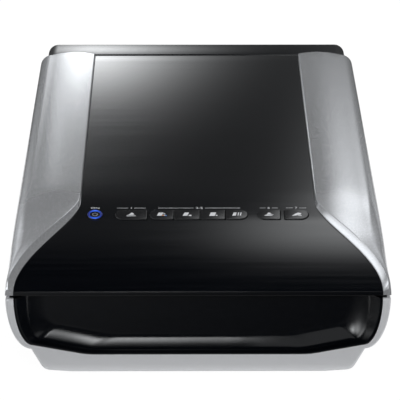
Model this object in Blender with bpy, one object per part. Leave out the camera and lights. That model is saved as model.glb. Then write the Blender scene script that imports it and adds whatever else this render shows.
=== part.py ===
"""A table-top A4 flatbed scanner with a thick film lid: metres, +Z up, the front faces -Y."""

import math

import bmesh
import bpy
from mathutils import Vector

# Whole object
WIDTH = 0.272  # widest, at the seam between lid and base
DEPTH = 0.480  # lip of the lid to the back of the case
SEAM_Z = 0.060  # middle of the dark gap between lid and base
SEAM_GAP = 0.0027  # height of that gap
FIT = 0.0003  # gap between pieces that touch
SLIDE_FIT = 0.0004  # gap round pieces that slide

# Lid outside
LID_BACK_GAP = 0.0085  # lid's back edge to the rear housing
PANEL_BACK_RISE = 0.047  # top of the panel above the seam, at the back
FALL_TOP_RISE = 0.041  # the same where the flat top ends
FALL_LENGTH = 0.102  # length of the falling front
FALL_POWER = 1.55  # how much steeper the front gets towards the lip
LIP_RISE = 0.004
PANEL_WALL = 0.0025
WING_TIP = 0.006  # width of each wing at the lip
FLARE_LENGTH = 0.090  # length over which the panel widens
WING_WALL = 0.0025
WING_STEP = 0.0025  # wing above the panel, at the back
WING_FRONT_STEP = 0.006  # the same along the flare
WING_CROWN = 0.0022
WING_BAND = 0.0024  # slant of the wing's inner wall along the flare
WING_FRONT_SHARE = 0.64  # share of the flare over which the step stays at its full height
WING_ROLL = 0.010  # radius of the wing's outer edge
WING_DROP = 0.001  # outer edge of the wing below its inner edge
LID_DRAFT = 0.0042  # the lid's sides lean in by this
WING_SOLID_FRONT = 0.045  # the wing's tip is solid up to here
WING_BACK_ROUND = 0.004

# Lid inside
FRAME_FRONT = 0.005
FRAME_WALL = 0.003
BRACKET_PLATE = 0.002
MAT_THICK = 0.0032
MAT_SIDE_INSET = 0.0022  # edge of the mat inside the glass's edge
MAT_FRONT_INSET = 0.0037
MAT_BACK_INSET = -0.0003
MAT_TRAVEL = 0.008
MAT_SIDE_GAP = 0.0008
POCKET_WALL = 0.0025
GUIDE_WIDE = 0.0754
GUIDE_THICK = 0.003
GUIDE_FRONT_INSET = 0.034  # light guide inside the mat's ends
GUIDE_BACK_INSET = 0.0186
LAMP_BOARD_OVER = 0.0073  # lamp board past the guide's sides
LAMP_BOARD_ENDS = 0.0103  # and past its ends
LAMP_BOARD_THICK = 0.0016
RIB_INSET = 0.010
RIB_WALL = 0.002

# Buttons
BUTTON_ROW = 0.072  # middle of the row behind the lip
BUTTON_TALL = 0.0118
POWER_ACROSS = 0.0112
AUTO_WIDE = 0.0232
DOCUMENT_WIDES = (0.0177, 0.0189, 0.0183, 0.0162)
COPY_WIDE = 0.0165
MAIL_WIDE = 0.0174
POWER_GAP = 0.0089  # gap after the power button, and so on to the right
AUTO_GAP = 0.0017
GROUP_GAP = 0.0072
COPY_GAP = 0.0029
ROW_MARGIN = 0.00495  # ends of the row to the panel's edges
BUTTON_PROUD = 0.0006
BUTTON_EDGE = 0.0005
BUTTON_SQUARE_CORNER = 0.0008
BUTTON_FLANGE = 0.0012
BUTTON_FLANGE_THICK = 0.001
BUTTON_STEM = 0.0030
BUTTON_TRAVEL = 0.0009
BUTTON_STEM_SHARE = 0.25
BUTTON_BOARD_THICK = 0.0016
BUTTON_BOARD_TALL = 0.020

# Hinge
HINGE_INSET = 0.030  # middle of each hinge inside the panel's edge
HINGE_AHEAD = 0.007  # axis ahead of the lid's back edge
HINGE_Z = 0.098
KNUCKLE_R = 0.005
POST_WIDE = 0.022
POST_FOOT_Z = 0.028
PIN_R = 0.0025
EAR_THICK = 0.0037
EAR_GAP = 0.0008
EAR_DROP = 0.012
PIN_HEAD = 0.0015

# Case of the base
TRAY_BOTTOM_Z = 0.0046
TRAY_WALL = 0.0028
CHIN_INSET = 0.0265  # edge of the flat bottom inside the case's side
CREASE_INSET = 0.0175
CREASE_Z = 0.0202
RIM_ROUND = 0.002
CASE_EDGE = 0.0022
SCOOP_FRAME = 0.0058  # silver frame beside the recess
SCOOP_FLOOR_Z = 0.0175
SCOOP_ROUND = 0.013  # width of the recess's round corner
SCOOP_TAPER = 0.0482  # width of the slanting end of its floor
SCOOP_BEND_RISE = 0.0072
SCOOP_DEPTH = 0.0245
SCOOP_SLANT = 0.012
SCOOP_FILLET = 0.005
SCOOP_WALL = 0.0022
SCOOP_SETBACK = 0.0008
REAR_LONG = 0.035
REAR_SIDE = 0.0095  # rear housing inside the case's side
REAR_TOP_Z = 0.105
REAR_ROUND = 0.0085
REAR_WALL = 0.0025
REAR_INSET = 0.0005
BEZEL_PLATE = 0.0024
GLASS_THICK = 0.003
GLASS_SIDE = 0.0223  # glass inside the case's side
GLASS_FRONT = 0.0923
GLASS_HINGE_GAP = 0.0213  # back of the glass to the hinge axis
GLASS_SUNK = 0.0004
GLASS_LEDGE = 0.0045
LEDGE_THICK = 0.002
LEDGE_WALL = 0.004
FOOT_R = 0.007
FOOT_INSET = 0.0295  # middle of a foot inside the flat bottom's edge
FOOT_END = 0.030

# Carriage and its rails
CARRIAGE_LONG = 0.070
CARRIAGE_SIDE = 0.022  # carriage inside the case's side
CARRIAGE_START = 0.0025  # gap to the front rod cradle
CARRIAGE_WALL = 0.0037
CARRIAGE_BOTTOM_Z = 0.023
CARRIAGE_TOP_GAP = 0.0012
CARRIAGE_FLOOR = 0.003
ROD_SIDE = 0.051  # rod inside the case's side
ROD_Z = 0.0165
ROD_R = 0.004
ROD_START = 0.0078  # front end of the rod behind the recess
ROD_PAST = 0.0095  # back end of the rod behind the hinge axis
CRADLE_LONG = 0.008
CRADLE_HALF = 0.0062
BUSH_R = 0.0058
BUSH_LONG = 0.010
BUSH_HOUSING = 0.0085
RAIL_SIDE = 0.041  # rail inside the case's side
RAIL_WIDE = 0.010
RAIL_TOP_Z = 0.014
SLIDER_SIZE = (0.008, 0.020)
LAMP_SIZE = (0.008, 0.0062)
MIRROR_SIZE = (0.013, 0.0025)
MIRRORS = ((0.034, 0.006, 45.0), (0.010, 0.0190, 52.0), (0.010, 0.0063, -52.0))
LENS_R = 0.007
LENS_LONG = 0.016
CCD_SIZE = (0.060, 0.0016, 0.020)

# Drive
BELT_X = 0.010
BELT_R = 0.0082  # middle of the belt round a pulley
BELT_THICK = 0.001
BELT_TALL = 0.005
BELT_Z = 0.0105
PULLEY_RIM = 0.0004
DRIVE_AHEAD = 0.004  # drive pulley ahead of the hinge axis
IDLER_START = 0.0275  # idler behind the front end of the rod
GEAR_MODULE = 0.0007
GEAR_TEETH = 40
PINION_TEETH = 10
GEAR_THICK = 0.0024
GEAR_GAP = 0.0005
BACKLASH = 0.00026
SHAFT_R = 0.002
PLATE_THICK = 0.002
PLATE_HALF = 0.020
MOTOR_R = 0.0150
MOTOR_TALL = 0.020
MOTOR_SHAFT_R = 0.0015
LEG = 0.006
TENSIONER_THICK = 0.0015
SPRING_R = 0.0022
SPRING_WIRE = 0.0005
SPRING_TURNS = 7
CABLE_X = -0.050
CABLE_WIDE = 0.016
CABLE_THICK = 0.0004
CABLE_BEND_R = 0.0055
CABLE_START = 0.017  # bend of the cable behind the carriage's front
CABLE_HOLD = 0.020

# Boards and sockets at the back
BOARD_INSET = 0.0156  # main board ahead of the case's back
BOARD_SIZE = (0.120, 0.0016, 0.040)
SOCKET_Z = 0.020
SOCKET_WALL = 0.0012
SOCKETS = {
    "film_unit_socket": (-0.044, 0.014, 0.009),
    "usb_port": (-0.013, 0.012, 0.011),
    "dc_jack": (0.030, 0.010, 0.011),
}
LOCK_SIDE = 0.034  # lock inside the case's side
LOCK_Z = 0.034
LOCK_WIDE = 0.007
LOCK_TALL = 0.006
LOCK_TRAVEL = 0.008
LOCK_FLANGE = 0.003

# Worked out from the sizes above
FRONT_Y = -DEPTH / 2
RIM_Z = SEAM_Z - SEAM_GAP / 2
SKIRT_Z = SEAM_Z + SEAM_GAP / 2
FLOOR_Z = TRAY_BOTTOM_Z + TRAY_WALL
FRAME_BOTTOM_Z = RIM_Z + FIT
FRAME_TOP_Z = SKIRT_Z - FIT
REAR_FRONT = DEPTH - REAR_INSET - REAR_LONG
REAR_HALF = WIDTH / 2 - REAR_SIDE
LID_DEPTH = REAR_FRONT - LID_BACK_GAP
ROW_LONG = POWER_ACROSS + POWER_GAP + AUTO_WIDE + AUTO_GAP + sum(DOCUMENT_WIDES)
ROW_LONG += GROUP_GAP + COPY_WIDE + COPY_GAP + MAIL_WIDE
PANEL_HALF = ROW_LONG / 2 + ROW_MARGIN
PANEL_FRONT_HALF = WIDTH / 2 - WING_TIP
HINGE_X = PANEL_HALF - HINGE_INSET
HINGE_BACK = LID_DEPTH - HINGE_AHEAD
RIB_X = PANEL_HALF - RIB_INSET
BRACKET_BACK = HINGE_BACK - KNUCKLE_R
REAR_WALL_BACK = BRACKET_BACK - BRACKET_PLATE - FIT
CHIN_HALF = WIDTH / 2 - CHIN_INSET
CREASE_HALF = WIDTH / 2 - CREASE_INSET
SCOOP_HALF = WIDTH / 2 - SCOOP_FRAME
SCOOP_BEND_HALF = SCOOP_HALF - SCOOP_ROUND
SCOOP_FLAT_HALF = SCOOP_BEND_HALF - SCOOP_TAPER
GLASS_HALF = WIDTH / 2 - GLASS_SIDE
GLASS_BACK = HINGE_BACK - GLASS_HINGE_GAP
MAT_HALF = GLASS_HALF - MAT_SIDE_INSET
MAT_FRONT = GLASS_FRONT + MAT_FRONT_INSET
MAT_BACK = GLASS_BACK - MAT_BACK_INSET
GUIDE_FRONT = MAT_FRONT + GUIDE_FRONT_INSET
GUIDE_BACK = MAT_BACK - GUIDE_BACK_INSET
FOOT_X = CHIN_HALF - FOOT_INSET
ROD_X = -(WIDTH / 2 - ROD_SIDE)
ROD_FRONT = SCOOP_DEPTH + SCOOP_WALL + ROD_START
ROD_BACK = HINGE_BACK + ROD_PAST
RAIL_X = WIDTH / 2 - RAIL_SIDE
CARRIAGE_FRONT = ROD_FRONT + CRADLE_LONG + CARRIAGE_START
CARRIAGE_HALF = WIDTH / 2 - CARRIAGE_SIDE
CARRIAGE_TOP_Z = RIM_Z - GLASS_SUNK - GLASS_THICK - FIT - LEDGE_THICK - CARRIAGE_TOP_GAP
DRIVE_BACK = HINGE_BACK - DRIVE_AHEAD
IDLER_BACK = ROD_FRONT + IDLER_START
CABLE_FRONT = CARRIAGE_FRONT + CABLE_START
BOARD_BACK = DEPTH - BOARD_INSET
LOCK_X = -(WIDTH / 2 - LOCK_SIDE)
FLAT_TOP = LID_DEPTH - WING_BACK_ROUND - FALL_LENGTH
STATIONS = [0.0, FALL_LENGTH / 40] + [FALL_LENGTH * i / 20 for i in range(1, 21)]
STATIONS += [FALL_LENGTH + FLAT_TOP * share for share in (0.06, 0.13, 0.25, 0.5, 0.8)]

BLACK_GLOSS = ((0.012, 0.012, 0.014), 0.12, 0.0)
BLACK_SATIN = ((0.02, 0.02, 0.022), 0.45, 0.0)
SILVER = ((0.46, 0.47, 0.48), 0.35, 0.6)
WHITE = ((0.85, 0.86, 0.86), 0.6, 0.0)
STEEL = ((0.55, 0.56, 0.57), 0.3, 1.0)
BOARD_GREEN = ((0.03, 0.18, 0.08), 0.5, 0.0)
RUBBER = ((0.03, 0.03, 0.03), 0.9, 0.0)
NYLON = ((0.75, 0.74, 0.70), 0.5, 0.0)
GLASS = ((0.80, 0.88, 0.86), 0.03, 0.0)
MIRROR = ((0.9, 0.9, 0.9), 0.02, 1.0)


# Making solids

def solid(name, points, faces, finish):
    mesh_data = bmesh.new()
    corners = [mesh_data.verts.new(point) for point in points]
    for face in faces:
        mesh_data.faces.new([corners[i] for i in face])
    bmesh.ops.recalc_face_normals(mesh_data, faces=mesh_data.faces)
    mesh = bpy.data.meshes.new(name)
    mesh_data.to_mesh(mesh)
    mesh_data.free()
    made = bpy.data.objects.new(name, mesh)
    bpy.context.collection.objects.link(made)
    if finish:
        paint(made, finish)
    return made


def paint(made, finish):
    colour, roughness, metallic = finish
    material = bpy.data.materials.new(made.name + "_finish")
    material.use_nodes = True
    shader = material.node_tree.nodes["Principled BSDF"]
    shader.inputs["Base Color"].default_value = (*colour, 1.0)
    shader.inputs["Roughness"].default_value = roughness
    shader.inputs["Metallic"].default_value = metallic
    made.data.materials.append(material)


def loft(name, rings, finish=None):
    count = len(rings[0])
    points = [point for ring in rings for point in ring]
    faces = [list(range(count)), [len(points) - 1 - i for i in range(count)]]
    for r in range(len(rings) - 1):
        for i in range(count):
            j = (i + 1) % count
            faces.append([r * count + i, r * count + j, (r + 1) * count + j, (r + 1) * count + i])
    return solid(name, points, faces, finish)


def prism(name, outline, axis, start, end, finish=None):
    place = {
        "x": lambda a, b, c: (c, a, b),
        "y": lambda a, b, c: (a, c, b),
        "z": lambda a, b, c: (a, b, c),
    }[axis]
    return loft(name, [[place(a, b, c) for a, b in outline] for c in (start, end)], finish)


def block(name, low, high, finish=None):
    outline = [(low[0], low[1]), (high[0], low[1]), (high[0], high[1]), (low[0], high[1])]
    return prism(name, outline, "z", low[2], high[2], finish)


def circle(a, b, radius, count=20, turn=0.0):
    steps = [turn + 2 * math.pi * i / count for i in range(count)]
    return [(a + radius * math.cos(t), b + radius * math.sin(t)) for t in steps]


def combine(made, other, operation):
    change = made.modifiers.new("combine", "BOOLEAN")
    change.operation = operation
    change.solver = "EXACT"
    change.object = other
    graph = bpy.context.evaluated_depsgraph_get()
    mesh = bpy.data.meshes.new_from_object(made.evaluated_get(graph))
    made.modifiers.clear()
    made.data = mesh
    bpy.data.objects.remove(other, do_unlink=True)


def cut(made, *cutters):
    for cutter in cutters:
        combine(made, cutter, "DIFFERENCE")
    return made


def fuse(made, *others):
    for other in others:
        combine(made, other, "UNION")
    return made


def at(distance):
    return FRONT_Y + distance


def set_origin(made, point):
    shift = Vector(point) - made.location
    made.data.transform(made.matrix_basis.Translation(-shift))
    made.location = point


def carry(axis_name, point, pieces):
    holder = bpy.data.objects.new(axis_name, None)
    holder.location = point
    bpy.context.collection.objects.link(holder)
    for piece in pieces:
        piece.parent = holder
        piece.location = piece.location - Vector(point)


# The lid's surfaces

def ease(share):
    share = min(max(share, 0.0), 1.0)
    return share * share * (3 - 2 * share)


def panel_edge(distance):
    return PANEL_HALF + (PANEL_FRONT_HALF - PANEL_HALF) * (1 - ease(distance / FLARE_LENGTH))


def panel_rise(distance):
    if distance >= FALL_LENGTH:
        slope = (PANEL_BACK_RISE - FALL_TOP_RISE) / (LID_DEPTH - FALL_LENGTH)
        return FALL_TOP_RISE + (distance - FALL_LENGTH) * slope
    left = 1 - distance / FALL_LENGTH
    return LIP_RISE + (FALL_TOP_RISE - LIP_RISE) * (1 - left ** FALL_POWER)


def panel_slope(distance):
    step = 0.0005
    low = max(distance - step, 0.0)
    return math.atan2(panel_rise(distance + step) - panel_rise(low), distance + step - low)


def under_panel(distance):
    return SEAM_Z + panel_rise(distance) - PANEL_WALL / math.cos(panel_slope(distance))


def row_point(across, along, above):
    slope = panel_slope(BUTTON_ROW)
    out = BUTTON_ROW + along * math.cos(slope) - above * math.sin(slope)
    rise = panel_rise(BUTTON_ROW) + along * math.sin(slope) + above * math.cos(slope)
    return (across, at(out), SEAM_Z + rise)


def pill(start, end, half, left_r, right_r, grow=0.0):
    outline = []
    half = half + grow
    corners = ((end + grow, -1, right_r, -90), (end + grow, 1, right_r, 0))
    corners += ((start - grow, 1, left_r, 90), (start - grow, -1, left_r, 180))
    for x, side, radius, first in corners:
        radius = min(radius + grow, half * 0.999)
        centre_x = x - radius if first < 90 else x + radius
        centre_u = side * (half - radius)
        for i in range(6):
            turn = math.radians(first + 18 * i)
            outline.append((centre_x + radius * math.cos(turn), centre_u + radius * math.sin(turn)))
    return outline


def row_spans():
    spans, start = {}, -ROW_LONG / 2
    row = [("power_button", POWER_ACROSS, POWER_GAP), ("auto_button", AUTO_WIDE, AUTO_GAP)]
    last = len(DOCUMENT_WIDES)
    for i, wide in enumerate(DOCUMENT_WIDES, 1):
        row.append((f"document_button_{i}", wide, GROUP_GAP if i == last else 0.0))
    row += [("copy_button", COPY_WIDE, COPY_GAP), ("mail_button", MAIL_WIDE, 0.0)]
    for name, wide, gap in row:
        spans[name] = (start, start + wide)
        start += wide + gap
    return spans


def button_outlines():
    half = BUTTON_TALL / 2
    square = BUTTON_SQUARE_CORNER
    spans = row_spans()
    power_r = POWER_ACROSS / 2
    shapes = {
        "power_button": (*spans["power_button"], power_r, power_r, power_r),
        "auto_button": (*spans["auto_button"], half, half, square),
    }
    last = len(DOCUMENT_WIDES)
    for i in range(1, last + 1):
        start, end = spans[f"document_button_{i}"]
        start += SLIDE_FIT / 2 if i > 1 else 0.0
        end -= SLIDE_FIT / 2 if i < last else 0.0
        ends = (half if i == 1 else square, half if i == last else square)
        shapes[f"document_button_{i}"] = (start, end, half, *ends)
    shapes["copy_button"] = (*spans["copy_button"], half, half, square)
    shapes["mail_button"] = (*spans["mail_button"], half, square, half)
    return shapes


# Pieces of the lid

def make_top_panel():
    stations = [d for d in STATIONS if d > 0] + [LID_DEPTH]
    outer = [(0.0, SKIRT_Z), (0.0, SEAM_Z + LIP_RISE)]
    inner = [(PANEL_WALL, SKIRT_Z), (PANEL_WALL, SEAM_Z + LIP_RISE - PANEL_WALL / 4)]
    for distance in stations:
        slope = panel_slope(distance)
        rise = SEAM_Z + panel_rise(distance)
        inward = PANEL_WALL * math.sin(slope) if distance < LID_DEPTH else 0.0
        outer.append((distance, rise))
        inner.append((distance + inward, rise - PANEL_WALL * math.cos(slope)))
    chain = outer + inner[::-1]
    sides = []
    for side in (-1, 1):
        sides.append([(side * panel_edge(d), at(d), z) for d, z in chain])
    count, total = len(outer), len(chain)
    faces = [[i, (i + 1) % total, total + (i + 1) % total, total + i] for i in range(total)]
    for offset in (0, total):
        for i in range(count - 1):
            low, high = offset + i, offset + i + 1
            faces.append([low, high, offset + total - 2 - i, offset + total - 1 - i])
    panel = solid("lid_top_panel", sides[0] + sides[1], faces, BLACK_GLOSS)
    shapes = button_outlines()
    half = BUTTON_TALL / 2
    group = (shapes["document_button_1"][0], shapes[f"document_button_{len(DOCUMENT_WIDES)}"][1], half, half, half)
    holes = [shapes[n] for n in ("power_button", "auto_button", "copy_button", "mail_button")] + [group]
    for shape in holes:
        outline = pill(*shape, grow=SLIDE_FIT)
        rings = [[row_point(a, u, n) for a, u in outline] for n in (-2 * PANEL_WALL, 2 * PANEL_WALL)]
        cut(panel, loft("button_hole", rings))
    return panel


def wing_section(distance):
    edge = panel_edge(distance) + FIT
    front = 1 - ease((distance / FLARE_LENGTH - WING_FRONT_SHARE) / WING_FRONT_SHARE)
    tip = 1 - ease(distance / (FLARE_LENGTH * 0.22))
    step = WING_STEP + (WING_FRONT_STEP - WING_STEP) * front
    back = max(distance - (LID_DEPTH - WING_BACK_ROUND), 0.0)
    lower = WING_BACK_ROUND - math.sqrt(max(WING_BACK_ROUND ** 2 - back ** 2, 0.0))
    panel_z = SEAM_Z + panel_rise(distance)
    crease_z = panel_z + step - lower
    crease = edge + WING_BAND * (0.3 + 0.7 * front + 0.5 * tip)
    high = (panel_rise(distance) - LIP_RISE) / (PANEL_BACK_RISE - LIP_RISE)
    outer = WIDTH / 2 - LID_DRAFT * high
    shoulder_z = crease_z - WING_DROP
    roll = min(WING_ROLL, 0.6 * (outer - crease))
    fall = min(WING_ROLL, 0.6 * (shoulder_z - SKIRT_Z))
    crown = WING_CROWN * (1 - front)
    section = [(edge, SKIRT_Z), (edge, min(panel_z, crease_z)), (crease, crease_z)]
    for share in (0.3, 0.65):
        x = crease + (outer - roll - crease) * share
        section.append((x, crease_z + crown * 4 * share * (1 - share) - WING_DROP * share))
    for i in range(6):
        turn = math.radians(18 * i)
        section.append((outer - roll + roll * math.sin(turn), shoulder_z - fall + fall * math.cos(turn)))
    section.append((WIDTH / 2, SKIRT_Z))
    return section


def wing_hollow(distance):
    section = wing_section(distance)
    edge = section[0][0]
    low = SKIRT_Z - WING_WALL
    flange = section[1][1] - 4 * WING_WALL
    hollow = [(edge - WING_WALL, low), (edge - WING_WALL, flange), (edge + WING_WALL, flange)]
    hollow.append((edge + WING_WALL, section[2][1] - WING_WALL))
    hollow += [(x - WING_WALL * 0.4, z - WING_WALL) for x, z in section[4:8]]
    hollow.append((section[-2][0] - WING_WALL, section[-2][1] - WING_WALL))
    hollow.append((section[-1][0] - WING_WALL, low))
    return hollow


def make_wing(side, name):
    back = LID_DEPTH - WING_BACK_ROUND
    rounds = [back + WING_BACK_ROUND * share for share in (0.0, 0.5, 0.85, 1.0)]
    stations = STATIONS + rounds
    wing = loft(name, [[(side * x, at(d), z) for x, z in wing_section(d)] for d in stations], SILVER)
    inside = [d for d in STATIONS if d >= WING_SOLID_FRONT] + [back - WING_WALL]
    hollow = [[(side * x, at(d), z) for x, z in wing_hollow(d)] for d in inside]
    return cut(wing, loft("wing_hollow", hollow))


def pocket_box(grow, low, high):
    half = MAT_HALF + MAT_SIDE_GAP + grow
    front = MAT_FRONT - MAT_TRAVEL - 2 * MAT_SIDE_GAP - grow
    back = MAT_BACK + MAT_SIDE_GAP + grow
    return (-half, at(front), low), (half, at(back), high)


def mat_top():
    return RIM_Z + FIT + MAT_THICK


def make_lid_frame():
    half = WIDTH / 2 - WING_WALL - FIT
    ceiling = mat_top() + FIT
    frame = block("lid_frame", (-half, at(FRAME_FRONT), FRAME_BOTTOM_Z), (half, at(REAR_WALL_BACK), FRAME_TOP_Z))
    paint(frame, BLACK_SATIN)
    low_z = (FRAME_BOTTOM_Z + FRAME_TOP_Z) / 2
    fuse(frame, block("pocket", *pocket_box(POCKET_WALL, low_z, ceiling + POCKET_WALL)))
    wall_front = REAR_WALL_BACK - FRAME_WALL
    wall = [(at(wall_front), low_z), (at(REAR_WALL_BACK), low_z)]
    wall += [(at(d), under_panel(d) - FIT) for d in (REAR_WALL_BACK, wall_front)]
    fuse(frame, prism("rear_wall", wall, "x", -PANEL_HALF + PANEL_WALL, PANEL_HALF - PANEL_WALL))
    for x in (-RIB_X, RIB_X):
        ends = (FALL_LENGTH + PANEL_WALL, wall_front + FRAME_WALL / 2)
        rib = [(at(d), low_z) for d in ends] + [(at(d), under_panel(d) - 2 * FIT) for d in reversed(ends)]
        fuse(frame, prism("rib", rib, "x", x - RIB_WALL / 2, x + RIB_WALL / 2))
        fuse(frame, board_post(x, low_z))
    cut(frame, block("pocket_room", *pocket_box(0.0, FRAME_BOTTOM_Z - POCKET_WALL, ceiling)))
    window = (GUIDE_WIDE / 2 + FIT, at(GUIDE_FRONT) - FIT, at(GUIDE_BACK) + FIT)
    low, high = (-window[0], window[1], FRAME_BOTTOM_Z), (window[0], window[2], ceiling + 2 * POCKET_WALL)
    return cut(frame, block("lamp_window", low, high))


def board_levels():
    top = -(PANEL_WALL + FIT + BUTTON_FLANGE_THICK + BUTTON_STEM + BUTTON_TRAVEL + FIT)
    return top - BUTTON_BOARD_THICK, top


def board_post(x, low_z):
    under = board_levels()[0] - FIT
    top = [row_point(x, u, under) for u in (-RIB_WALL * 2, RIB_WALL * 2)]
    outline = [(top[0][1], low_z), (top[1][1], low_z), (top[1][1], top[1][2]), (top[0][1], top[0][2])]
    return prism("board_post", outline, "x", x - RIB_WALL, x + RIB_WALL)


def make_button_board():
    low, high = board_levels()
    ends = (-ROW_LONG / 2, ROW_LONG / 2)
    half = BUTTON_BOARD_TALL / 2
    outline = [(ends[0], -half), (ends[1], -half), (ends[1], half), (ends[0], half)]
    rings = [[row_point(a, u, n) for a, u in outline] for n in (low, high)]
    return loft("button_board", rings, BOARD_GREEN)


def make_button(name, shape):
    start, end, half = shape[:3]
    middle = (start + end) / 2
    cap = pill(*shape)
    crown = pill(*shape, grow=-BUTTON_EDGE)
    flange = [(a, u * (half + BUTTON_FLANGE) / half) for a, u in cap]
    stem = [(middle + (a - middle) * BUTTON_STEM_SHARE, u * BUTTON_STEM_SHARE) for a, u in cap]
    under = -(PANEL_WALL + FIT)
    foot = under - BUTTON_FLANGE_THICK
    rings = [(stem, foot - BUTTON_STEM), (stem, foot), (flange, foot), (flange, under), (cap, under)]
    rings += [(cap, BUTTON_PROUD - BUTTON_EDGE), (crown, BUTTON_PROUD)]
    button = loft(name, [[row_point(a, u, n) for a, u in ring] for ring, n in rings], BLACK_GLOSS)
    set_origin(button, row_point(middle, 0.0, 0.0))
    return button


def make_lid_inside():
    ceiling = mat_top() + FIT
    guide_top = ceiling + GUIDE_THICK
    half = GUIDE_WIDE / 2
    low, high = (-half, at(GUIDE_FRONT), ceiling), (half, at(GUIDE_BACK), guide_top)
    guide = block("film_light_guide", low, high, WHITE)
    half += LAMP_BOARD_OVER
    ends = (at(GUIDE_FRONT - LAMP_BOARD_ENDS), at(GUIDE_BACK + LAMP_BOARD_ENDS))
    base = max(guide_top, ceiling + POCKET_WALL) + FIT
    low, high = (-half, ends[0], base), (half, ends[1], base + LAMP_BOARD_THICK)
    board = block("film_lamp_board", low, high, BOARD_GREEN)
    low = (-MAT_HALF, at(MAT_FRONT), mat_top() - MAT_THICK)
    mat = block("document_mat", low, (MAT_HALF, at(MAT_BACK), mat_top()), WHITE)
    set_origin(mat, low)
    return [guide, board], mat


# The hinges

def make_hinge(side, name):
    y, middle = at(HINGE_BACK), side * HINGE_X
    post_low, post_high = middle - POST_WIDE / 2, middle + POST_WIDE / 2
    turns = [math.radians(15 * i) for i in range(13)]
    knuckle = [(y + KNUCKLE_R * math.cos(t), HINGE_Z + KNUCKLE_R * math.sin(t)) for t in turns]
    outline = knuckle + [(y - KNUCKLE_R, POST_FOOT_Z), (y + KNUCKLE_R, POST_FOOT_Z)]
    post = prism("hinge_post_" + name, outline, "x", post_low, post_high, STEEL)
    hole = circle(y, HINGE_Z, PIN_R + FIT)
    cut(post, prism("pin_hole", hole, "x", post_low - EAR_THICK, post_high + EAR_THICK))
    ear_out = EAR_GAP + EAR_THICK
    pin = prism("hinge_pin_" + name, circle(y, HINGE_Z, PIN_R), "x",
                post_low - ear_out - PIN_HEAD, post_high + ear_out + PIN_HEAD, STEEL)
    back_y = at(BRACKET_BACK)
    low_z, high_z = HINGE_Z - EAR_DROP, HINGE_Z + KNUCKLE_R
    low = (post_low - ear_out, back_y - BRACKET_PLATE, low_z)
    bracket = block("hinge_bracket_" + name, low, (post_high + ear_out, back_y - FIT, high_z), STEEL)
    for start in (post_low - ear_out, post_high + EAR_GAP):
        half_turn = [math.radians(-90 + 15 * i) for i in range(13)]
        ear = [(y + KNUCKLE_R * math.cos(t), HINGE_Z + KNUCKLE_R * math.sin(t)) for t in half_turn]
        ear += [(back_y - BRACKET_PLATE, high_z), (back_y - BRACKET_PLATE, low_z)]
        fuse(bracket, prism("ear", ear, "x", start, start + EAR_THICK))
    cut(bracket, prism("ear_hole", hole, "x", post_low - 2 * ear_out, post_high + 2 * ear_out))
    return post, pin, bracket


# The case of the base

def hull_outline(inset, top_z, rim):
    half, crease = WIDTH / 2 - inset, CREASE_HALF - inset
    crease_z = CREASE_Z + inset * 0.6
    right = [(CHIN_HALF - inset * 0.8, TRAY_BOTTOM_Z + inset)]
    for i in range(9):
        turn = math.radians(90 - 10.5 * i)
        x = crease + (half - crease) * math.cos(turn)
        right.append((x, RIM_Z - (RIM_Z - crease_z) * math.sin(turn)))
    right += [(half - rim * 0.3, top_z - rim * 0.3), (half - rim, top_z)] if rim else [(half, top_z)]
    return [(-x, z) for x, z in reversed(right)] + right


def scoop_outline(inset, shrink, rise, top_z):
    half, floor = SCOOP_HALF - inset - shrink, SCOOP_FLOOR_Z + inset + rise
    bend = SCOOP_BEND_HALF - inset - shrink
    bend_z = floor + SCOOP_BEND_RISE
    right = [(SCOOP_FLAT_HALF - shrink, floor)]
    for i in range(8):
        turn = math.radians(90 - 12.5 * i)
        x = bend + (half - bend) * math.cos(turn)
        right.append((x, RIM_Z - (RIM_Z - bend_z) * math.sin(turn)))
    right.append((half, top_z))
    return [(-x, z) for x, z in reversed(right)] + right


def scoop_rings(inset, start, deeper, top_z):
    rings = [(start, start * SCOOP_SLANT / SCOOP_DEPTH, 0.0)]
    flat = SCOOP_DEPTH - SCOOP_FILLET
    for share in (0.0, 0.5, 0.8, 0.95, 1.0):
        reach = flat + SCOOP_FILLET * share
        rise = SCOOP_FILLET - math.sqrt(max(SCOOP_FILLET ** 2 - (SCOOP_FILLET * share) ** 2, 0.0))
        rings.append((reach + deeper, reach * SCOOP_SLANT / SCOOP_DEPTH, rise))
    return [[(x, at(d), z) for x, z in scoop_outline(inset, s, r, top_z)] for d, s, r in rings]


def make_front_panel():
    panel = loft("front_panel", scoop_rings(FIT, SCOOP_SETBACK, SCOOP_WALL, RIM_Z), BLACK_GLOSS)
    room = scoop_rings(FIT + SCOOP_WALL, -SCOOP_WALL, 0.0, RIM_Z + SCOOP_WALL)
    return cut(panel, loft("scoop_room", room))


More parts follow.
